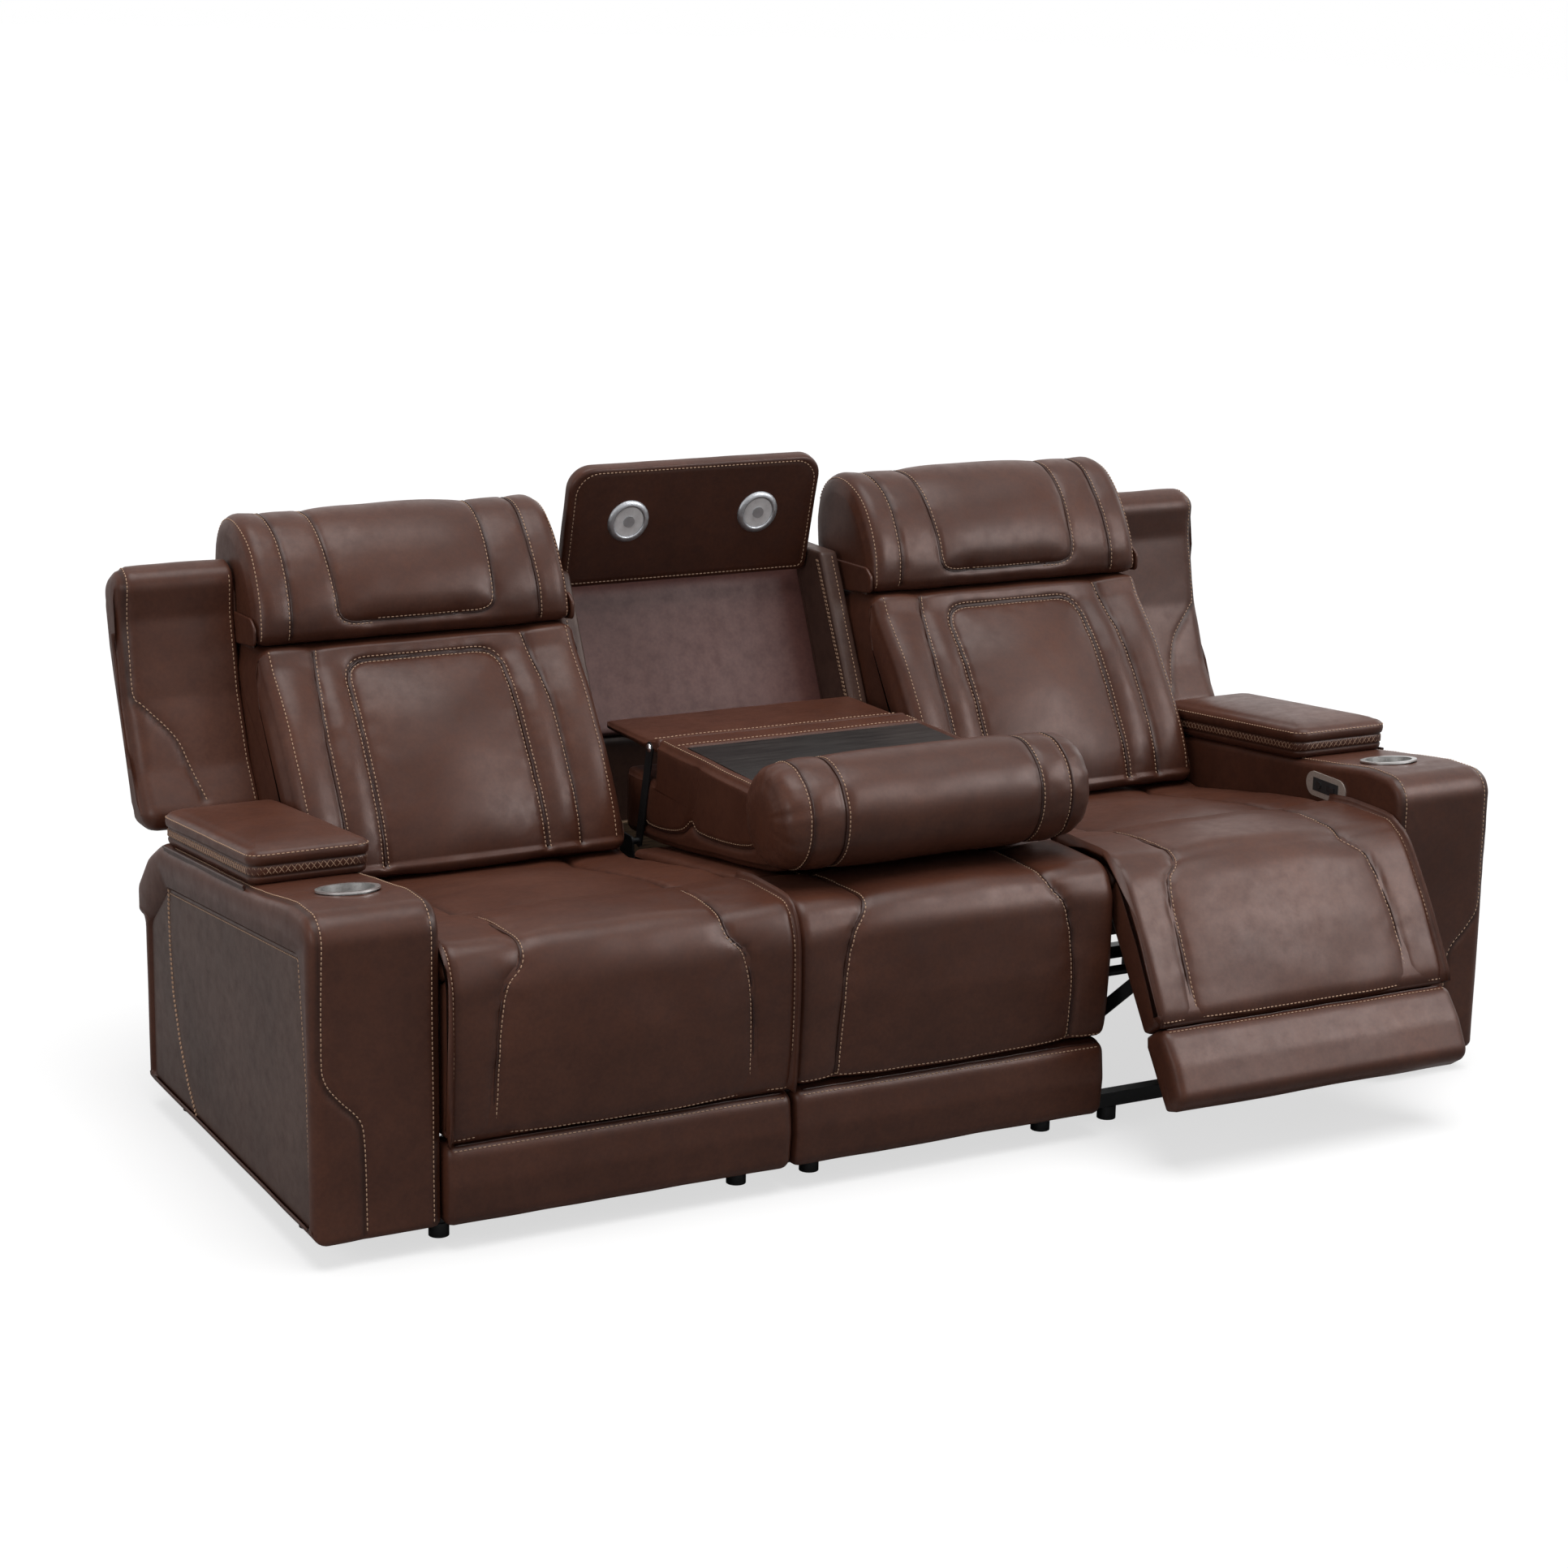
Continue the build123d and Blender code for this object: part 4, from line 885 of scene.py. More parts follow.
backPlan = dict(c0=313.5, c1=919.5, panel=150.0, flank=222.0, hem=284.0, puffs=((186, 8.0), (258, 6.0)),
                outline=[(597, 429, 18), (628, 516, 400), (692, 617, 500), (751, 700, 400), (820, 772, 60),
                         (840, 803.8, 14), (1008, 803.8, 10), (925, 441, 10)])


def makeBack(side):
    left = side == "left"
    loop = roundedLoop(backPlan["outline"], seatPlan["step"], lambda a, b: (a - 925) * 358 - (b - 446) * 83 > -9000)
    form = Form(loop, stations(backPlan["c0"], backPlan["c1"], 6.5))
    form.ends(28)
    low, high, brow = sAt(loop, 618, 452), sAt(loop, 842, 800), sAt(loop, 824, 778)
    lobe = np.cos(np.clip((form.v - low) / (high - low), 0, 1) * math.pi - math.pi / 2)
    half = backPlan["panel"]
    rise = [(half + 4, low), (half + 2, low + 120), (half, brow - 80), (half - 3, brow - 30), (half - 14, brow - 9),
            (half - 38, brow), (half - 90, brow)]
    border = smoothPath([(seatCentre + sign * x, s) for sign, run in ((-1, 1), (1, -1)) for x, s in rise[::run]])
    form.sew(border, 6.0, 4.5, 12.0, 36.0, 1.6, 81 + left)
    flanks = [seamX([(seatCentre + sign * (backPlan["flank"] - inset), a, b) for inset, a, b in
                     ((2, 618, 452), (2, 702, 618), (6, 757, 700), (22, 842, 800))], loop) for sign in (-1, 1)]
    for k, path in enumerate(flanks):
        form.sew(path, 4.0, 4.5, 8.0, 26.0, 1.0, 84 + k)
    form.swell(14.0, bulge(form.u - seatCentre, 105.0) * lobe)
    for offset, amount in backPlan["puffs"]:
        for sign in (-1, 1):
            form.swell(amount, bulge(form.u - seatCentre - sign * offset, 28.0) * lobe)
    foot = np.abs(form.v - low)
    form.depth = form.depth + 4.0 * np.exp(-foot / 26.0) * (form.v > low) * (form.v < high)
    form.depth = form.depth + 1.6 * np.exp(-foot / 60.0) * ripple(form.u / 55.0, form.v / 150.0, 87 + left)
    form.soften(1.8, 91 + left, 150.0).form().skin(caps=((0.9, 5.0), (0.6, 7.0)))
    form.stitch(border, (5.5, -5.5))
    form.tube(border, 2.2, 0.4)
    for sign, path in zip((-1, 1), flanks):
        form.stitch(path, (4.5 * sign,))
        form.tube(path, 1.5, 0.3)
        form.stitch(longPath(seatCentre + sign * backPlan["hem"], low + 6, high - 4), (0.0,))
    piece = form.make(side + "BackCushion", mirror=left)
    settle(piece, side + "_back", [side + "_back_cushion"])


gussetPlan = dict(outline=[(850, 810, 10), (1046, 786, 8), (1046, 850, 10), (870, 856, 16), (850, 842, 10)],
                  spans=((310.9, 316.4), (921.4, 925.8)), edge=0.8)


def makeGussets(side):
    for k, (c0, c1) in enumerate(gussetPlan["spans"]):
        edge = gussetPlan["edge"]
        form = Form(roundedLoop(gussetPlan["outline"], 6.0), [c0, c0 + edge, c1 - edge, c1])
        form.depth = form.depth + np.array([edge, 0.0, 0.0, edge])[:, None]
        form.form().skin(caps=((0.9, 0.0),))
        piece = form.make(side + ("InnerGusset", "OuterGusset")[k], mirror=side == "left")
        settle(piece, side + "_back", [])


# A thin leather curtain stands under each headrest, round its ends and rear.
curtainPlan = dict(x=(325.0, 911.0), y=(884.0, 1022.0), z=(797.0, 811.0), corner=14.0, pitch=12.0, rows=12, wall=2.4)


def makeCurtain(side):
    sign = -1 if side == "left" else 1
    (x0, x1), (y0, y1), (z0, z1), cut = curtainPlan["x"], curtainPlan["y"], curtainPlan["z"], curtainPlan["corner"]
    plan = np.array([(x0, y0), (x0, y1 - cut), (x0 + cut, y1), (x1 - cut, y1), (x1, y1 - cut), (x1, y0)])
    sheet = bmesh.new()
    corners = [sheet.verts.new(inRow(sign * x, y, z0)) for x, y in evenPath(plan, curtainPlan["pitch"])]
    edges = [sheet.edges.new(pair) for pair in zip(corners, corners[1:])]
    rise = (z1 - z0) / curtainPlan["rows"] / 1000
    for _ in range(curtainPlan["rows"]):
        grownParts = bmesh.ops.extrude_edge_only(sheet, edges=edges)["geom"]
        raised = {part for part in grownParts if isinstance(part, bmesh.types.BMVert)}
        edges = [part for part in grownParts if isinstance(part, bmesh.types.BMEdge) and raised.issuperset(part.verts)]
        bmesh.ops.translate(sheet, verts=list(raised), vec=(0.0, 0.0, rise))
    bmesh.ops.recalc_face_normals(sheet, faces=sheet.faces[:])
    bmesh.ops.solidify(sheet, geom=sheet.faces[:], thickness=curtainPlan["wall"] / 1000)
    bmesh.ops.recalc_face_normals(sheet, faces=sheet.faces[:])
    mesh = bpy.data.meshes.new(side + "Curtain")
    sheet.to_mesh(mesh)
    sheet.free()
    mesh.materials.append(materials["outer"])
    for polygon in mesh.polygons:
        polygon.use_smooth = True
    piece = bpy.data.objects.new(side + "Curtain", mesh)
    bpy.context.scene.collection.objects.link(piece)
    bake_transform(piece)


headrestPlan = dict(outline=[(844.5, 804.5, 27), (844.5, 864, 300), (866, 914, 300), (908, 974, 300),
                             (970, 1016, 200), (1040, 1018, 90), (1090, 980, 90), (1104, 915, 90), (1096, 850, 40),
                             (1034, 804.5, 20)],
                    c0=319.0, c1=918.0, inner=157.0, rim=(238.0, 237.0, 234.0, 238.0), hem=55.0)


def makeHeadrest(side):
    left = side == "left"
    loop = roundedLoop(headrestPlan["outline"], seatPlan["step"], lambda a, b: (a > 1060) | ((b < 810) & (a > 880)))
    form = Form(loop, stations(headrestPlan["c0"], headrestPlan["c1"], 6.5))
    form.ends(28)
    heel = np.exp(-((loop["points"][:, 0] - 850) / 60.0) ** 2 - ((loop["points"][:, 1] - 808) / 42.0) ** 2)
    form.depth = form.depth * (1 - 0.62 * heel[None, :])
    back = sAt(loop, 1098, 950)

    def before(s, slack=0.0):  # counts s back past the loop's start where it lies beyond the rear seam
        return s - loop["total"] if s > back + slack else s

    front, corner = before(sAt(loop, 844.5, 812)), before(sAt(loop, 846, 838))
    crown, brow, cheek = (sAt(loop, a, b) for a, b in ((970, 1014), (900, 962), (862, 905)))
    inner = headrestPlan["inner"]
    panel = [(inner + 6, back), (inner, crown), (inner - 3, brow), (inner - 6, cheek), (inner - 8, corner + 26),
             (inner - 16, corner + 8), (inner - 36, corner + 1), (inner - 70, corner)]
    rim = list(zip(headrestPlan["rim"], (back, crown, brow, front)))
    paths, rims = ([smoothPath([(seatCentre + sign * x, before(s, 1.0)) for x, s in marks]) for sign in (-1, 1)]
                   for marks in (panel, rim))
    across = np.linspace(seatCentre - inner + 78, seatCentre + inner - 78, 24)
    bottom = np.stack([across, np.full(24, corner)], axis=1)
    for k, path in enumerate(paths):
        form.sew(path, 3.0, 4.5, 3.6, 26.0, 1.2, 101 + k)
    form.sew(bottom, 3.0, 4.5, 5.0, 26.0, 1.2, 104)
    for k, path in enumerate(rims):
        form.sew(path, 3.0, 4.5, 3.2, 24.0, 1.2, 106 + k)
    inside = np.clip((inner - np.abs(form.u - seatCentre)) / 90.0, 0, 1)
    wrapped = np.where(form.v > back + 1, form.v - loop["total"], form.v)
    upward = np.clip((wrapped - corner) / 80.0, 0, 1) * np.clip((back - wrapped) / 330.0, 0, 1)
    form.swell(7.0, np.sin(inside * math.pi / 2) * np.sin(upward * math.pi / 2))
    chin = np.abs(wrapped - front)
    form.depth = form.depth + 1.4 * np.exp(-chin / 30.0) * ripple(form.u / 50.0, form.v / 140.0, 111 + left)
    form.soften(1.8, 113 + left, 140.0).form().skin(caps=((0.95, 1.4), (0.86, 2.2), (0.7, 2.8), (0.4, 3.0)))
    for path in paths + [bottom]:
        form.stitch(path, (4.5,))
        form.tube(path, 1.5, 0.3)
    for sign, path in zip((-1, 1), rims):
        form.stitch(path, (4.5 * sign,))
        form.tube(path, 1.7, 0.4)
        form.stitch(path + np.array((sign * headrestPlan["hem"], 0.0)), (0.0,))
    form.stitch(np.stack([np.full(6, seatCentre + 2.0), np.linspace(front + 4, corner - 3, 6)], axis=1), (0.0,))
    piece = form.make(side + "Headrest", mirror=left)
    settle(piece, side + "_headrest", [side + "_headrest"])


wingPlan = dict(outline=[(808, 494, 30), (880, 600, 80), (926, 712, 80), (954, 850, 60), (950, 928, 36),
                         (1000, 944, 36), (1066, 908, 44), (1040, 800, 90), (985, 660, 90), (918, 492, 24)],
                span=(926.0, 1135.0), hem=934.0,
                seam=[(1118, 1020, 940), (1122, 952, 905), (1124, 946, 800), (1124, 930, 725), (1112, 925, 705),
                      (1075, 908, 668), (1055, 896, 640), (1042, 880, 600), (1024, 845, 548)])


def makeWing(side):
    left = side == "left"
    loop = roundedLoop(wingPlan["outline"], 6.0)
    form = Form(loop, stations(*wingPlan["span"], 7))
    form.ends(5, 28)
    top, low = sAt(loop, 950, 920), sAt(loop, 812, 500)
    path = seamX(wingPlan["seam"], loop)
    form.sew(path, 2.2, 5.0, 2.5, 22.0, 0.9, 121)
    form.soften(1.6, 123 + left, 120.0).form().skin(caps=((0.9, 3.0), (0.6, 4.0)))
    form.stitch(path, (-4.0,))
    form.stitch(longPath(wingPlan["hem"], min(top, low), max(top, low)), (0.0,))
    piece = form.make(side + "Wing", mirror=left)
    settle(piece, side + "_back", [side + "_wing"])


for side in ("left", "right"):
    makeBack(side)
    makeHeadrest(side)
    makeGussets(side)
    makeCurtain(side)
    makeWing(side)
print("backs made")


armFall = 45.0 / 460.0
armPlan = dict(outline=[(-18, 41, 12), (-18, 577, 48), (90, 577, 60), (290, 547.5, 120), (750, 502.5, 100),
                        (822, 462, 60), (884, 400, 40), (884, 338, 24), (846, 338, 5), (846, 41, 12)],
               seam=[(1128, 700, 507), (1129, 500, 527), (1129, 290, 547), (1128, 100, 574), (1127, 20, 577),
                     (1127, -8, 565), (1128, -18, 520), (1130, -18, 420), (1131, -18, 350), (1129, -18, 322),
                     (1120, -18, 300), (1098, -18, 272), (1076, -18, 252), (1066, -18, 232), (1062, -18, 190),
                     (1060, -18, 100), (1060, -18, 50)],
               innerSeam=[(941, 700, 507), (941, 500, 527), (941, 290, 547), (941, 100, 574), (941, 10, 577),
                          (941, -12, 560), (941, -18, 500), (940, -18, 50)],
               # cup: x, y, radius, floor; bed: reach, slope, drop, rim; well: x from and to, y from and to, floor
               cup=(1022.0, 140.0, 49.0, 490.0), cupBed=(78.0, 20.0, 2.0, 3.0),
               well=(975.0, 1100.0, 322.0, 718.0, 300.0), topAbove=480.0,
               panelLip=1142.5, panelBed=1128.0, panelLevels=(1129.0, 1133.0, 1136.5, 1138.6),
               panelEdge=(0.0, 0.0, 1.0, 3.4),
               panel=[(12, 60, 12), (14, 300, 60), (40, 505, 12), (700, 436, 12), (806, 348, 30), (810, 60, 12)],
               panelCurve=[(700, 436), (703, 400), (701, 330), (690, 250), (660, 170), (620, 105), (582, 62)],
               panelHem=[(12, 66), (20, 300), (46, 497), (690, 429)])


# the outline of corners, pushed out by amount
def grown(corners, amount):
    loop = roundedLoop(corners, 6.0)
    return loop["points"] + loop["normals"] * amount


# each point of ring moved along its own ray onto the target outline
def towards(ring, target):
    centre = target.mean(axis=0)
    angle = np.arctan2(target[:, 1] - centre[1], target[:, 0] - centre[0])
    order = np.argsort(angle)
    angle, reach = angle[order], np.linalg.norm(target - centre, axis=1)[order]
    wanted = np.arctan2(ring[:, 1] - centre[1], ring[:, 0] - centre[0])
    length = np.interp(wanted, np.concatenate([angle - 2 * math.pi, angle, angle + 2 * math.pi]), np.tile(reach, 3))
    return centre + np.stack([np.cos(wanted), np.sin(wanted)], axis=1) * length[:, None]


def drawLine(form, points, normal, sides=(0.0,), pitch=8.2, length=6.2, width=1.05, rise=0.5, slot=1):
    even = evenPath(np.asarray(points, float), pitch)
    heading = unit(np.gradient(even, axis=0))
    normal = np.broadcast_to(np.asarray(normal, float), even.shape)
    binormal = np.cross(heading, normal)
    for side in sides:
        for p, t, n, b in zip(even, heading, normal, binormal):
            dash(form, p + b * side + n * rise, t * length / 2, b * width, n * width, slot)


# presses a round hole into a grid, with its edge points drawn onto the circle
def sinkRound(form, where, cx, cy, radius, floor):
    reach, slope, drop, edge = armPlan["cupBed"]
    x, y = form.grid[:, :, 0], form.grid[:, :, 1]
    gap = np.hypot(x - cx, y - cy)
    bed = np.clip((reach - gap) / slope, 0, 1)
    form.grid[:, :, 2] = form.grid[:, :, 2] - np.where(where, drop * bed * bed * (3 - 2 * bed), 0.0)
    rim = where & (np.abs(gap - radius) < edge)
    form.grid[:, :, 2] = np.where(where & (gap < radius) & ~rim, floor, form.grid[:, :, 2])
    form.grid[:, :, 0] = np.where(rim, cx + (x - cx) * radius / gap, x)
    form.grid[:, :, 1] = np.where(rim, cy + (y - cy) * radius / gap, y)


def makeArm(side):
    left = side == "left"
    loop = roundedLoop(armPlan["outline"], 4.5, lambda a, b: (b < 43) & (a > 0))
    form = Form(loop, stations(armInner, armOuter, 4.5, (2.0, 5.0, 9.0, 14.0, 20.0)))
    form.ends(16, 23)
    path, inner = seamX(armPlan["seam"], loop), seamX(armPlan["innerSeam"], loop)
    form.sew(path, 2.4, 5.0, 1.6, 16.0, 0.7, 131)
    form.sew(inner, 1.2, 4.0, 0.8, 14.0, 0.5, 133)
    form.soften(1.2, 135 + left, 130.0).form()
    x, y = form.grid[:, :, 0], form.grid[:, :, 1]
    high = form.grid[:, :, 2] > armPlan["topAbove"]
    sinkRound(form, high, *armPlan["cup"])
    x0, x1, y0, y1, floor = armPlan["well"]
    form.grid[:, :, 2] = np.where(high & (x > x0) & (x < x1) & (y > y0) & (y < y1), floor, form.grid[:, :, 2])
    outline = towards(form.grid[-1][:, 1:], grown(armPlan["panel"], 3.0))
    outerEnd = (armPlan["panelLip"], armPlan["panelBed"])
    form.skin(endRings=[np.column_stack([np.full(len(outline), level), outline]) for level in outerEnd])
    form.stitch(path, (-4.0,))
    form.stitch(inner, (4.0,))
    piece = form.make(side + "Arm", mirror=left)
    settle(piece, "root", [side + "_arm"])

    loop = roundedLoop(armPlan["panel"], 8.0)
    form = Form(loop, armPlan["panelLevels"])
    form.depth = form.depth + np.array(armPlan["panelEdge"])[:, None]
    form.form().skin(caps=((0.985, 0.5), (0.9, 0.9), (0.5, 1.0)))
    drawLine(form, [(1139.5, y, z) for y, z in armPlan["panelCurve"]], (1, 0, 0), (0.0, 5.0))
    drawLine(form, [(1139.3, y, z) for y, z in armPlan["panelHem"]], (1, 0, 0))
    piece = form.make(side + "SidePanel", ["outer", "thread"], mirror=left)
    fasten(piece, "root", [side + "_side_panel"])


# levels: height above the arm and how far the side draws in there; cross: pitch of the cross stitches in the band
lidPlan = dict(plan=[(923, 285, 26), (1133.7, 285, 26), (1133.7, 753, 30), (923, 753, 30)], band=(13.0, 31.0),
               cross=11.0, hem=48.5, foot=(288.0, 548.3),
               levels=[(0, 10), (3, 6), (7, 4.5), (11, 4), (13, 5.5), (15, 4), (18, 3.2), (22, 3), (26, 3.2), (29, 4),
                       (31, 5.5), (33, 2), (37, 0.6), (42, 0), (47, 0.8), (51, 3), (54.5, 7), (57, 12), (58, 17)])


def makeLid(side):
    left = side == "left"
    loop = roundedLoop(lidPlan["plan"], 6.0)
    heights, draws = zip(*lidPlan["levels"])
    form = Form(loop, heights, lambda a, c, b: np.stack([a, b, c], axis=-1))
    form.depth = form.depth + np.interp(form.u, heights, draws)
    form.depth = form.depth + 0.7 * ripple(form.v / 60.0, form.u / 60.0, 141 + left)
    # painted shade along the two band grooves, kept as the "seam" attribute
    for level in lidPlan["band"]:
        form.shade = np.maximum(form.shade, 0.9 * np.exp(-((form.u - level) / 2.0) ** 2))
    form.form().skin(caps=((0.95, 3.0), (0.86, 5.6), (0.72, 8.0), (0.5, 10.0), (0.25, 11.0)))
    low, high = lidPlan["band"][0] + 2.0, lidPlan["band"][1] - 2.0
    total, pitch = loop["total"], lidPlan["cross"]
    for k in range(int(total / pitch)):
        for heightsHere in ((low, high), (high, low)):
            place, normal = form.at(np.array(heightsHere), np.array((k * pitch, k * pitch + pitch)))
            step = place[1] - place[0]
            heading = step / np.linalg.norm(step)
            binormal = np.cross(heading, normal[0])
            dash(form, place.mean(axis=0) + normal[0] * 0.9, step / 2, binormal * 0.7, normal[0] * 0.7, 1)
    form.stitch(np.stack([np.full(200, lidPlan["hem"]), np.linspace(0, total, 200)], axis=1), (0.0,))

    def sloped(verts):
        y, z = lidPlan["foot"]
        out = verts.copy()
        out[:, 2] = verts[:, 2] + z - (verts[:, 1] - y) * armFall
        return out

    piece = form.make(side + "Lid", mirror=left, move=sloped)
    settle(piece, side + "_lid", [side + "_lid"])


for side in ("left", "right"):
    makeArm(side)
    makeLid(side)
print("arms made")


# trayRim: half width, y from and to, rise; tray: half width, y from and to, floor
# cup: x, y, radius, floor; roll: y, z, radius, half length; arm: the bracket's line in y and z
consolePlan = dict(half=256.0, puffMost=6.2,
                   body=[(136, 508, 20), (190, 494.5, 60), (300, 477, 60), (600, 436.5, 60), (738, 431, 14),
                         (738, 552, 8), (614, 552, 4), (614, 632, 14), (150, 632, 10)],
                   wave=[(664, 462), (600, 465), (540, 474), (495, 488), (468, 508), (440, 499), (400, 499),
                         (330, 506), (262, 517), (219, 532), (192, 565), (178, 605), (171, 622)],
                   fold=[(468, 508), (452, 556), (444, 612)], arm=[(636, 609), (680, 425)],
                   tray=(238.5, 211.0, 529.0, 618.0), cup=(140.0, 285.0, 40.5, 566.0), roll=(112.0, 612.0, 96.0, 300.0),
                   trayRim=(250.0, 200.0, 545.0, 2.0), rollSeams=(252, 190),
                   rollEnd=((0, 1.5, 4, 8, 14, 22, 34, 48, 62), (38, 31, 24, 17.5, 12, 7.5, 3.6, 1.0, 0)),
                   rivet=((8.6, 259.0), (8.6, 260.8), (7.8, 262.2), (5.6, 263.4), (2.8, 264.0)), rivetSides=24,
                   cover=[(600, 604, 8), (600, 636, 13), (650, 622, 50), (829, 618, 5), (829, 602.5, 5),
                          (650, 602.5, 10)])


def makeConsole():
    loop = roundedLoop(consolePlan["body"], 6.0)
    half = consolePlan["half"]
    form = Form(loop, stations(-half, half, 7.0, (2.0, 5.0, 9.0, 14.0)))
    form.ends(12)
    form.soften(1.4, 151, 110.0).form()
    x, y, z = form.grid[:, :, 0], form.grid[:, :, 1], form.grid[:, :, 2]
    top = z > 600
    trayHalf, y0, y1, rise = consolePlan["trayRim"]
    form.grid[:, :, 2] = np.where(top & (np.abs(x) < trayHalf) & (y > y0) & (y < y1), z + rise, z)
    trayHalf, y0, y1, floor = consolePlan["tray"]
    form.grid[:, :, 2] = np.where(top & (np.abs(x) < trayHalf) & (y > y0) & (y < y1), floor, form.grid[:, :, 2])
    cx, cy, radius, floor = consolePlan["cup"]
    form.grid[:, :, 2] = np.where(top & (np.hypot(np.abs(x) - cx, y - cy) < radius), floor, form.grid[:, :, 2])
    outline = np.vstack([loop["points"], loop["points"][:1]])
    wave = smoothPath(consolePlan["wave"])
    fold = smoothPath(consolePlan["fold"])

    def puff(points):  # how far the side stands proud: two soft lobes, the wavy seam, the fold and the arm's bed
        y, z = points[:, 1], points[:, 2]
        seamGap, foldGap = pathDistance(y, z, wave), pathDistance(y, z, fold)
        rise = 7.5 * (1 - np.exp(-pathDistance(y, z, outline) / 12.0))
        rise = rise + 3.0 * np.exp(-((y - 570) / 70) ** 2 - ((z - 530) / 45) ** 2)
        rise = rise + 3.0 * np.exp(-((y - 330) / 90) ** 2 - ((z - 565) / 40) ** 2)
        armGap = pathDistance(y, z, consolePlan["arm"])
        rise = rise * (1 - np.exp(-(armGap / 24.0) ** 2)) - 2.0 * np.exp(-(armGap / 18.0) ** 2)
        rise = rise - valley(seamGap, 6.0, 6.0, 3.0, 20.0) - 4.0 * np.exp(-(foldGap / 15.0) ** 2)
        rise = rise + 1.8 * (armGap > 30) * np.exp(-np.abs(y - 170) / 55.0) * ripple(z / 15.0, y / 80.0, 153)
        return np.minimum(rise, consolePlan["puffMost"])

    form.skin(caps=[(share, puff) for share in np.linspace(0.985, 0.04, 36)])
    for sign in (-1, 1):
        normal = np.broadcast_to(np.array((sign, 0.0, 0.0)), (len(wave), 3))
        for lift, isTube in ((0.0, True), (6.0, False)):
            line = np.column_stack([np.zeros(len(wave)), wave])
            line[:, 2] += lift
            line[:, 0] = sign * (half + 0.6 + puff(line))
            if isTube:
                form.sweep(line, normal, 1.9, 2)
            else:
                drawLine(form, line, (sign, 0, 0))
    for sign in (-1, 1):
        form.stitch(longPath(sign * (half - 6), sAt(loop, 200, 632), sAt(loop, 600, 632)), (0.0,))
    form.stitch(crossPath(10 - half, half - 10, sAt(loop, 548, 632)), (0.0,))
    piece = form.make("consoleBody")
    settle(piece, "console", ["console_body"])

    cy, cz, radius, half = consolePlan["roll"]
    reach = radius / math.cos(math.pi / 16)  # the corners of a 16-sided outline round the roll
    ring = [(cy + reach * math.cos(a), cz + reach * math.sin(a), radius * 0.995) for a in np.arange(16) * math.pi / 8]
    loop = roundedLoop(ring, 6.5)
    form = Form(loop, stations(-half, half, 7.0, (1.5, 4.0, 8.0, 14.0, 22.0, 31.0, 41.0, 52.0)))
    gap = np.minimum(form.u + half, half - form.u)
    form.depth = form.depth + np.interp(gap, *consolePlan["rollEnd"])
    seams = [longPath(sign * x, 0, loop["total"]) for sign in (-1, 1) for x in consolePlan["rollSeams"]]
    for k, path in enumerate(seams):
        form.sew(path, 3.5, 4.5, 4.0, 22.0, 1.6, 161 + k)
    form.depth = form.depth + 3.0 * np.exp(-gap / 30.0) * ripple(form.v / 18.0, form.u / 80.0, 166)
    form.soften(1.6, 167, 120.0).form().skin(caps=((0.9, 2.5), (0.7, 4.5), (0.4, 5.5)))
    for k, path in enumerate(seams):
        form.tube(path, 1.9, 0.4)
        form.stitch(path, (5.0 if k % 2 == 0 else -5.0,))
    piece = form.make("consoleRoll")
    settle(piece, "console", ["console_roll"])

    form = blankForm()
    rings, sides = consolePlan["rivet"], consolePlan["rivetSides"]
    angles = np.arange(sides) * 2 * math.pi / sides
    y, z = consolePlan["arm"][0]
    for sign in (-1, 1):
        verts = [(sign * x, y + r * math.cos(a), z + r * math.sin(a)) for r, x in rings for a in angles]
        faces = [face[::sign] for face in ringFaces(len(rings), sides)]
        cap, base = tuple(range(len(verts) - sides, len(verts))), tuple(range(sides))[::-1]
        form.addShape(verts, faces + [cap[::sign], base[::sign]], 0)
    piece = form.make("consoleRivets", ["chrome"])
    fasten(piece, "console", [])

    loop = roundedLoop(consolePlan["cover"], 6.0)
    half = consolePlan["half"] + 1
    form = Form(loop, stations(-half, half, 8.0, (2.0, 4.0, 8.0)))
    form.ends(7)
    form.soften(0.8, 171, 90.0).form().skin(caps=((0.8, 1.5),))
    form.stitch(crossPath(7 - half, half - 7, sAt(loop, 634, 621)), (0.0,))
    piece = form.make("gapCover")
    settle(piece, "console", ["gap_cover"])


lightPlan = dict(hinge=(1030.0, 838.0), lean=15.0, half=263.5, heel=8.0, height=236.0, thick=28.0, setback=6.0,
                 corner=45.0)


# from the panel's own frame, upright at the hinge, to its lean
def onLight(verts):
    a = math.radians(lightPlan["lean"])
    out = verts.copy()
    y, z = verts[:, 1], verts[:, 2]
    out[:, 1] = lightPlan["hinge"][0] + y * math.cos(a) - z * math.sin(a)
    out[:, 2] = lightPlan["hinge"][1] + y * math.sin(a) + z * math.cos(a)
    return out


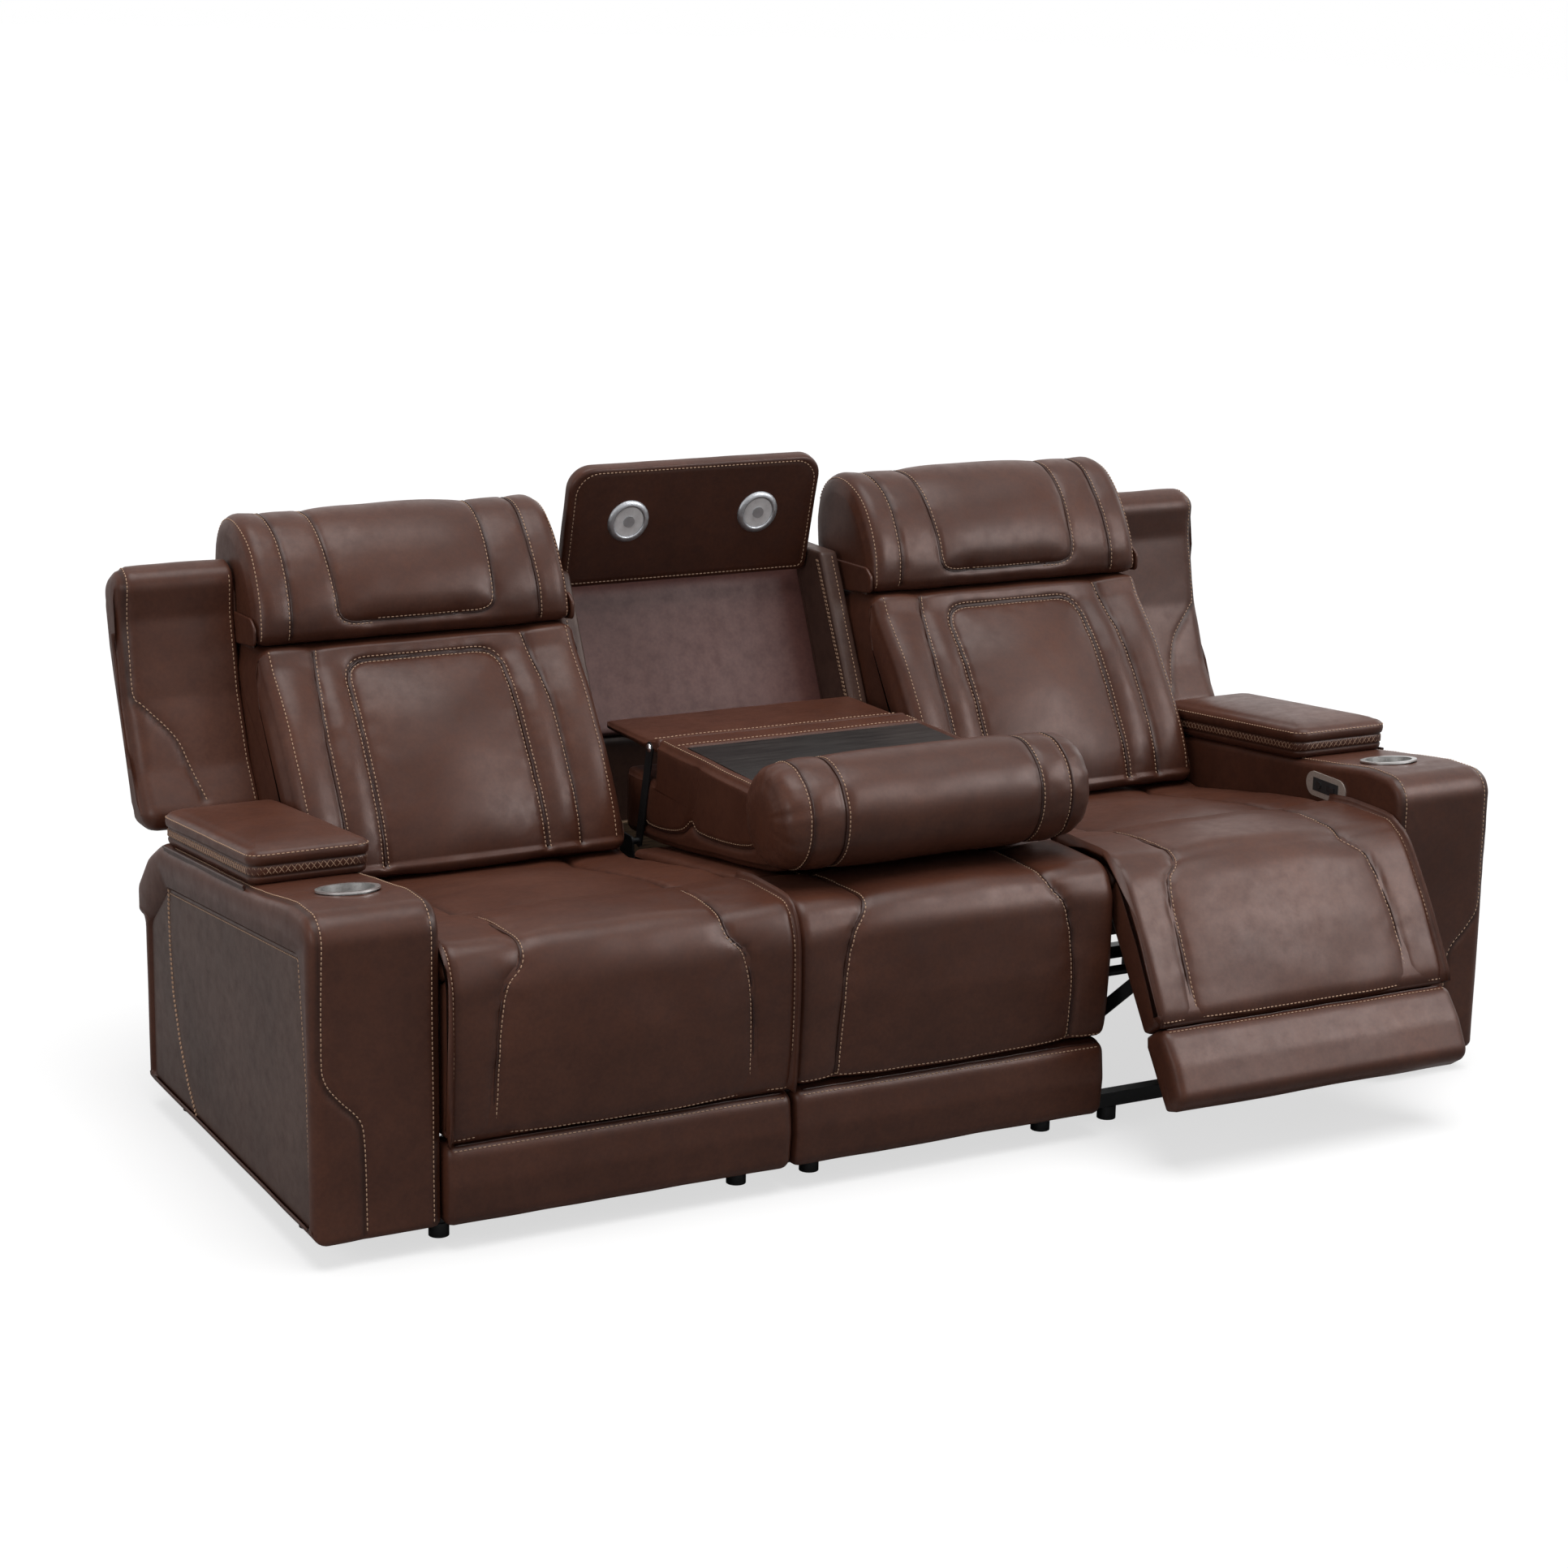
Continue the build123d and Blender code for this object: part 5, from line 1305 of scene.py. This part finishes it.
def makeLightPanel():
    low, high, half, corner = -lightPlan["heel"], lightPlan["height"], lightPlan["half"], lightPlan["corner"]
    plan = [(-half, low, 12), (half, low, 12), (half, high, corner), (-half, high, corner)]
    loop = roundedLoop(plan, 6.0)
    face, back = -lightPlan["setback"], lightPlan["thick"] - lightPlan["setback"]
    levels = [face, face + 0.8, face + 2.5, face + 5.0, face + 9.0, 8.0, 14.0, back - 5.0, back - 2.0, back]
    form = Form(loop, levels, lambda a, c, b: np.stack([a, c, b], axis=-1))
    form.depth = form.depth + np.array([7.5, 4.2, 1.8, 0.5, 0.0, 0.0, 0.0, 0.6, 2.2, 5.0])[:, None]
    form.depth = form.depth + 0.5 * ripple(form.v / 70.0, form.u / 60.0, 181)
    form.form().skin(caps=((0.985, 0.2), (0.97, -0.6), (0.955, 0.3), (0.9, 0.5), (0.5, 0.6)))
    inner = roundedLoop([(x * 0.955, (b - 118) * 0.92 + 118, r) for x, b, r in plan], 8.0)["points"]
    track = np.column_stack([inner[:, 0], np.full(len(inner), face - 0.6), inner[:, 1]])
    drawLine(form, np.vstack([track, track[:1]]), (0, -1, 0))
    piece = form.make("lightPanel", move=onLight)
    fasten(piece, "light", ["light_panel"])


ringPlan = dict(profile=[(42.6, 5.0), (42.6, -0.8), (42.0, -2.4), (40.2, -4.4), (37.4, -5.8), (34.4, -6.6),
                         (32.0, -6.6), (30.6, -5.6), (30.2, -3.6), (30.2, 5.0)],
                spots=((-137.0, 125.0), (137.0, 125.0)), turns=72)


def makeLampRings():
    turns = ringPlan["turns"]
    angles = np.arange(turns) * 2 * math.pi / turns
    form = blankForm()
    for x, up in ringPlan["spots"]:
        verts = [(x + r * math.cos(a), d - lightPlan["setback"], up + r * math.sin(a))
                 for r, d in ringPlan["profile"] for a in angles]
        form.addShape(verts, ringFaces(len(ringPlan["profile"]), turns, True), 0)
    piece = form.make("lampRings", ["satin"], move=onLight)
    fasten(piece, "light", ["lamp_rings"])


makeConsole()
makeLightPanel()
makeLampRings()
print("console and light panel made")


# recess: y and z of the recess panel's foot; lean: how far back it goes for each mm up
middleBackPlan = dict(recess=(942.0, 556.0), lean=0.466, edge=24.0, post=(265.6, 303.4), postHem=290, postFace=265.2,
                      stripX=267.3, stripZ=(566.0, 862.0), panelHalf=266.0, rearHalf=302.0, rearHem=293, rearThick=14.0)


def recessY(z):
    y, foot = middleBackPlan["recess"]
    return y + (z - foot) * middleBackPlan["lean"]


def makeMiddleBack():
    edge, face = middleBackPlan["edge"], middleBackPlan["postFace"]
    loop = roundedLoop([(recessY(540) - 205, 384.3, 6), (recessY(872) - 117, 872, 12), (recessY(872) + edge, 872, 8),
                        (recessY(540) + edge, 540, 20), (recessY(540) + edge, 384.3, 4)], 7.0)
    for sign, name in ((-1, "leftPost"), (1, "rightPost")):
        form = Form(loop, stations(*middleBackPlan["post"], 6.0, (2.0, 5.0)))
        form.ends(5)
        form.soften(0.7, 191, 90.0).form().skin(caps=((0.97, 0.3),))
        front, back = sAt(loop, recessY(540) - 200, 396), sAt(loop, recessY(872) - 120, 862)
        form.stitch(longPath(middleBackPlan["postHem"], front, back), (0.0,))
        for lift in (10.0, 16.0):
            drawLine(form, [(face, recessY(560) - 200 + lift, 420), (face, recessY(872) - 119 + lift, 860)], (-1, 0, 0))
        z = np.linspace(*middleBackPlan["stripZ"], 60)
        wrinkle = ripple(z / 16.0, 0 * z, 193)
        strip = np.column_stack([middleBackPlan["stripX"] + 0.4 * wrinkle, recessY(z) - 9.0 + 1.6 * wrinkle, z])
        form.sweep(strip, np.broadcast_to(np.array((-1.0, 0.0, 0.0)), strip.shape), 2.4, 2, 10)
        piece = form.make(name, darkSlots, mirror=sign < 0)
        fasten(piece, "root", [])

    loop = roundedLoop([(942, 556, 3), (recessY(868), 868, 3), (recessY(868) + 26, 868, 3), (968, 556, 3)], 10.0)
    half = middleBackPlan["panelHalf"]
    form = Form(loop, stations(-half, half, 14.0))
    form.swell(2.0, bulge(form.u, 170.0))
    form.soften(1.2, 195, 130.0).form().skin()
    piece = form.make("recessPanel", ["recess", "thread", "piping"])
    settle(piece, "root", ["middle_back"])

    knee, top, t = recessY(540) + edge, recessY(872) + edge, middleBackPlan["rearThick"]
    loop = roundedLoop([(knee - 1, 50, 2), (knee - 1, 540, 20), (top - 1, 872, 4), (top + t, 872, 6),
                        (knee + t, 536, 20), (knee + t, 50, 4)], 9.0)
    half = middleBackPlan["rearHalf"]
    form = Form(loop, stations(-half, half, 16.0))
    form.ends(4)
    form.soften(1.2, 197, 150.0).form().skin()
    for x in (-middleBackPlan["rearHem"], middleBackPlan["rearHem"]):
        form.stitch(longPath(x, sAt(loop, top + t, 868), sAt(loop, knee + t, 56)), (0.0,))
    piece = form.make("middleRear", darkSlots)
    fasten(piece, "root", [])


shellPlan = dict(outline=[(913, 230, 3), (1056, 818, 3), (1078, 818, 6), (935, 230, 6)], span=(312, 925),
                 hems=(322, 915))


def makeBackShell(side):
    left = side == "left"
    loop = roundedLoop(shellPlan["outline"], 9.0)
    form = Form(loop, stations(*shellPlan["span"], 14.0))
    form.ends(5)
    form.soften(1.4, 199, 150.0).form().skin()
    top, low = sAt(loop, 1077, 812), sAt(loop, 937, 240)
    for x in shellPlan["hems"]:
        form.stitch(longPath(x, min(top, low), max(top, low)), (0.0,))
    piece = form.make(side + "BackShell", darkSlots, mirror=left)
    fasten(piece, side + "_back", [side + "_back_shell"])


makeMiddleBack()
for side in ("left", "right"):
    makeBackShell(side)
print("middle back and shells made")


finishes = {
    "blackSteel": ["base_frame", "console_brackets", "console_pivot_brackets", "back_frame",
                   "footrest_bracket", "lower_links", "upper_links", "seat_frame"],
    "piping": ["lid_hinges"],
    "blackPlastic": ["drive_block", "drive_motor"],
    "stainless": ["console_cups", "cup_holders"],
    "chrome": ["lamp_rings"],
    "blackGloss": ["round_button", "rocker_button"],
    "nickel": ["switch_plate"],
    "lens": ["lamp_lenses"],
    "greyPaint": ["lamp_button"],
    "tray": ["console_tray"],
    "board": ["middle_seat_frame"]}
switchPlan = dict(centre=(200.0, 514.0), half=(38.2, 12.7))  # the black middle of each switch plate, in y and z


def dressNodes():
    for nodeName, node in nodes.items():
        node.data.materials.clear()
        node.data.materials.append(materials["outer" if "panel" in nodeName or "shell" in nodeName else "leather"])
    for finish, names in finishes.items():
        for nodeName, node in nodes.items():
            if nodeName in names or nodeName.split("_", 1)[-1] in names:
                node.data.materials.clear()
                node.data.materials.append(materials[finish])
    for side in ("left", "right"):
        plate = nodes[side + "_switch_plate"]
        plate.data.materials.append(materials["blackPlastic"])
        for polygon in plate.data.polygons:
            place = (polygon.center.y * 1000 - frameShiftY, polygon.center.z * 1000)
            inside = all(abs(p - c) < h for p, c, h in zip(place, switchPlan["centre"], switchPlan["half"]))
            polygon.material_index = 1 if inside else 0


dressNodes()
print("hard parts dressed")
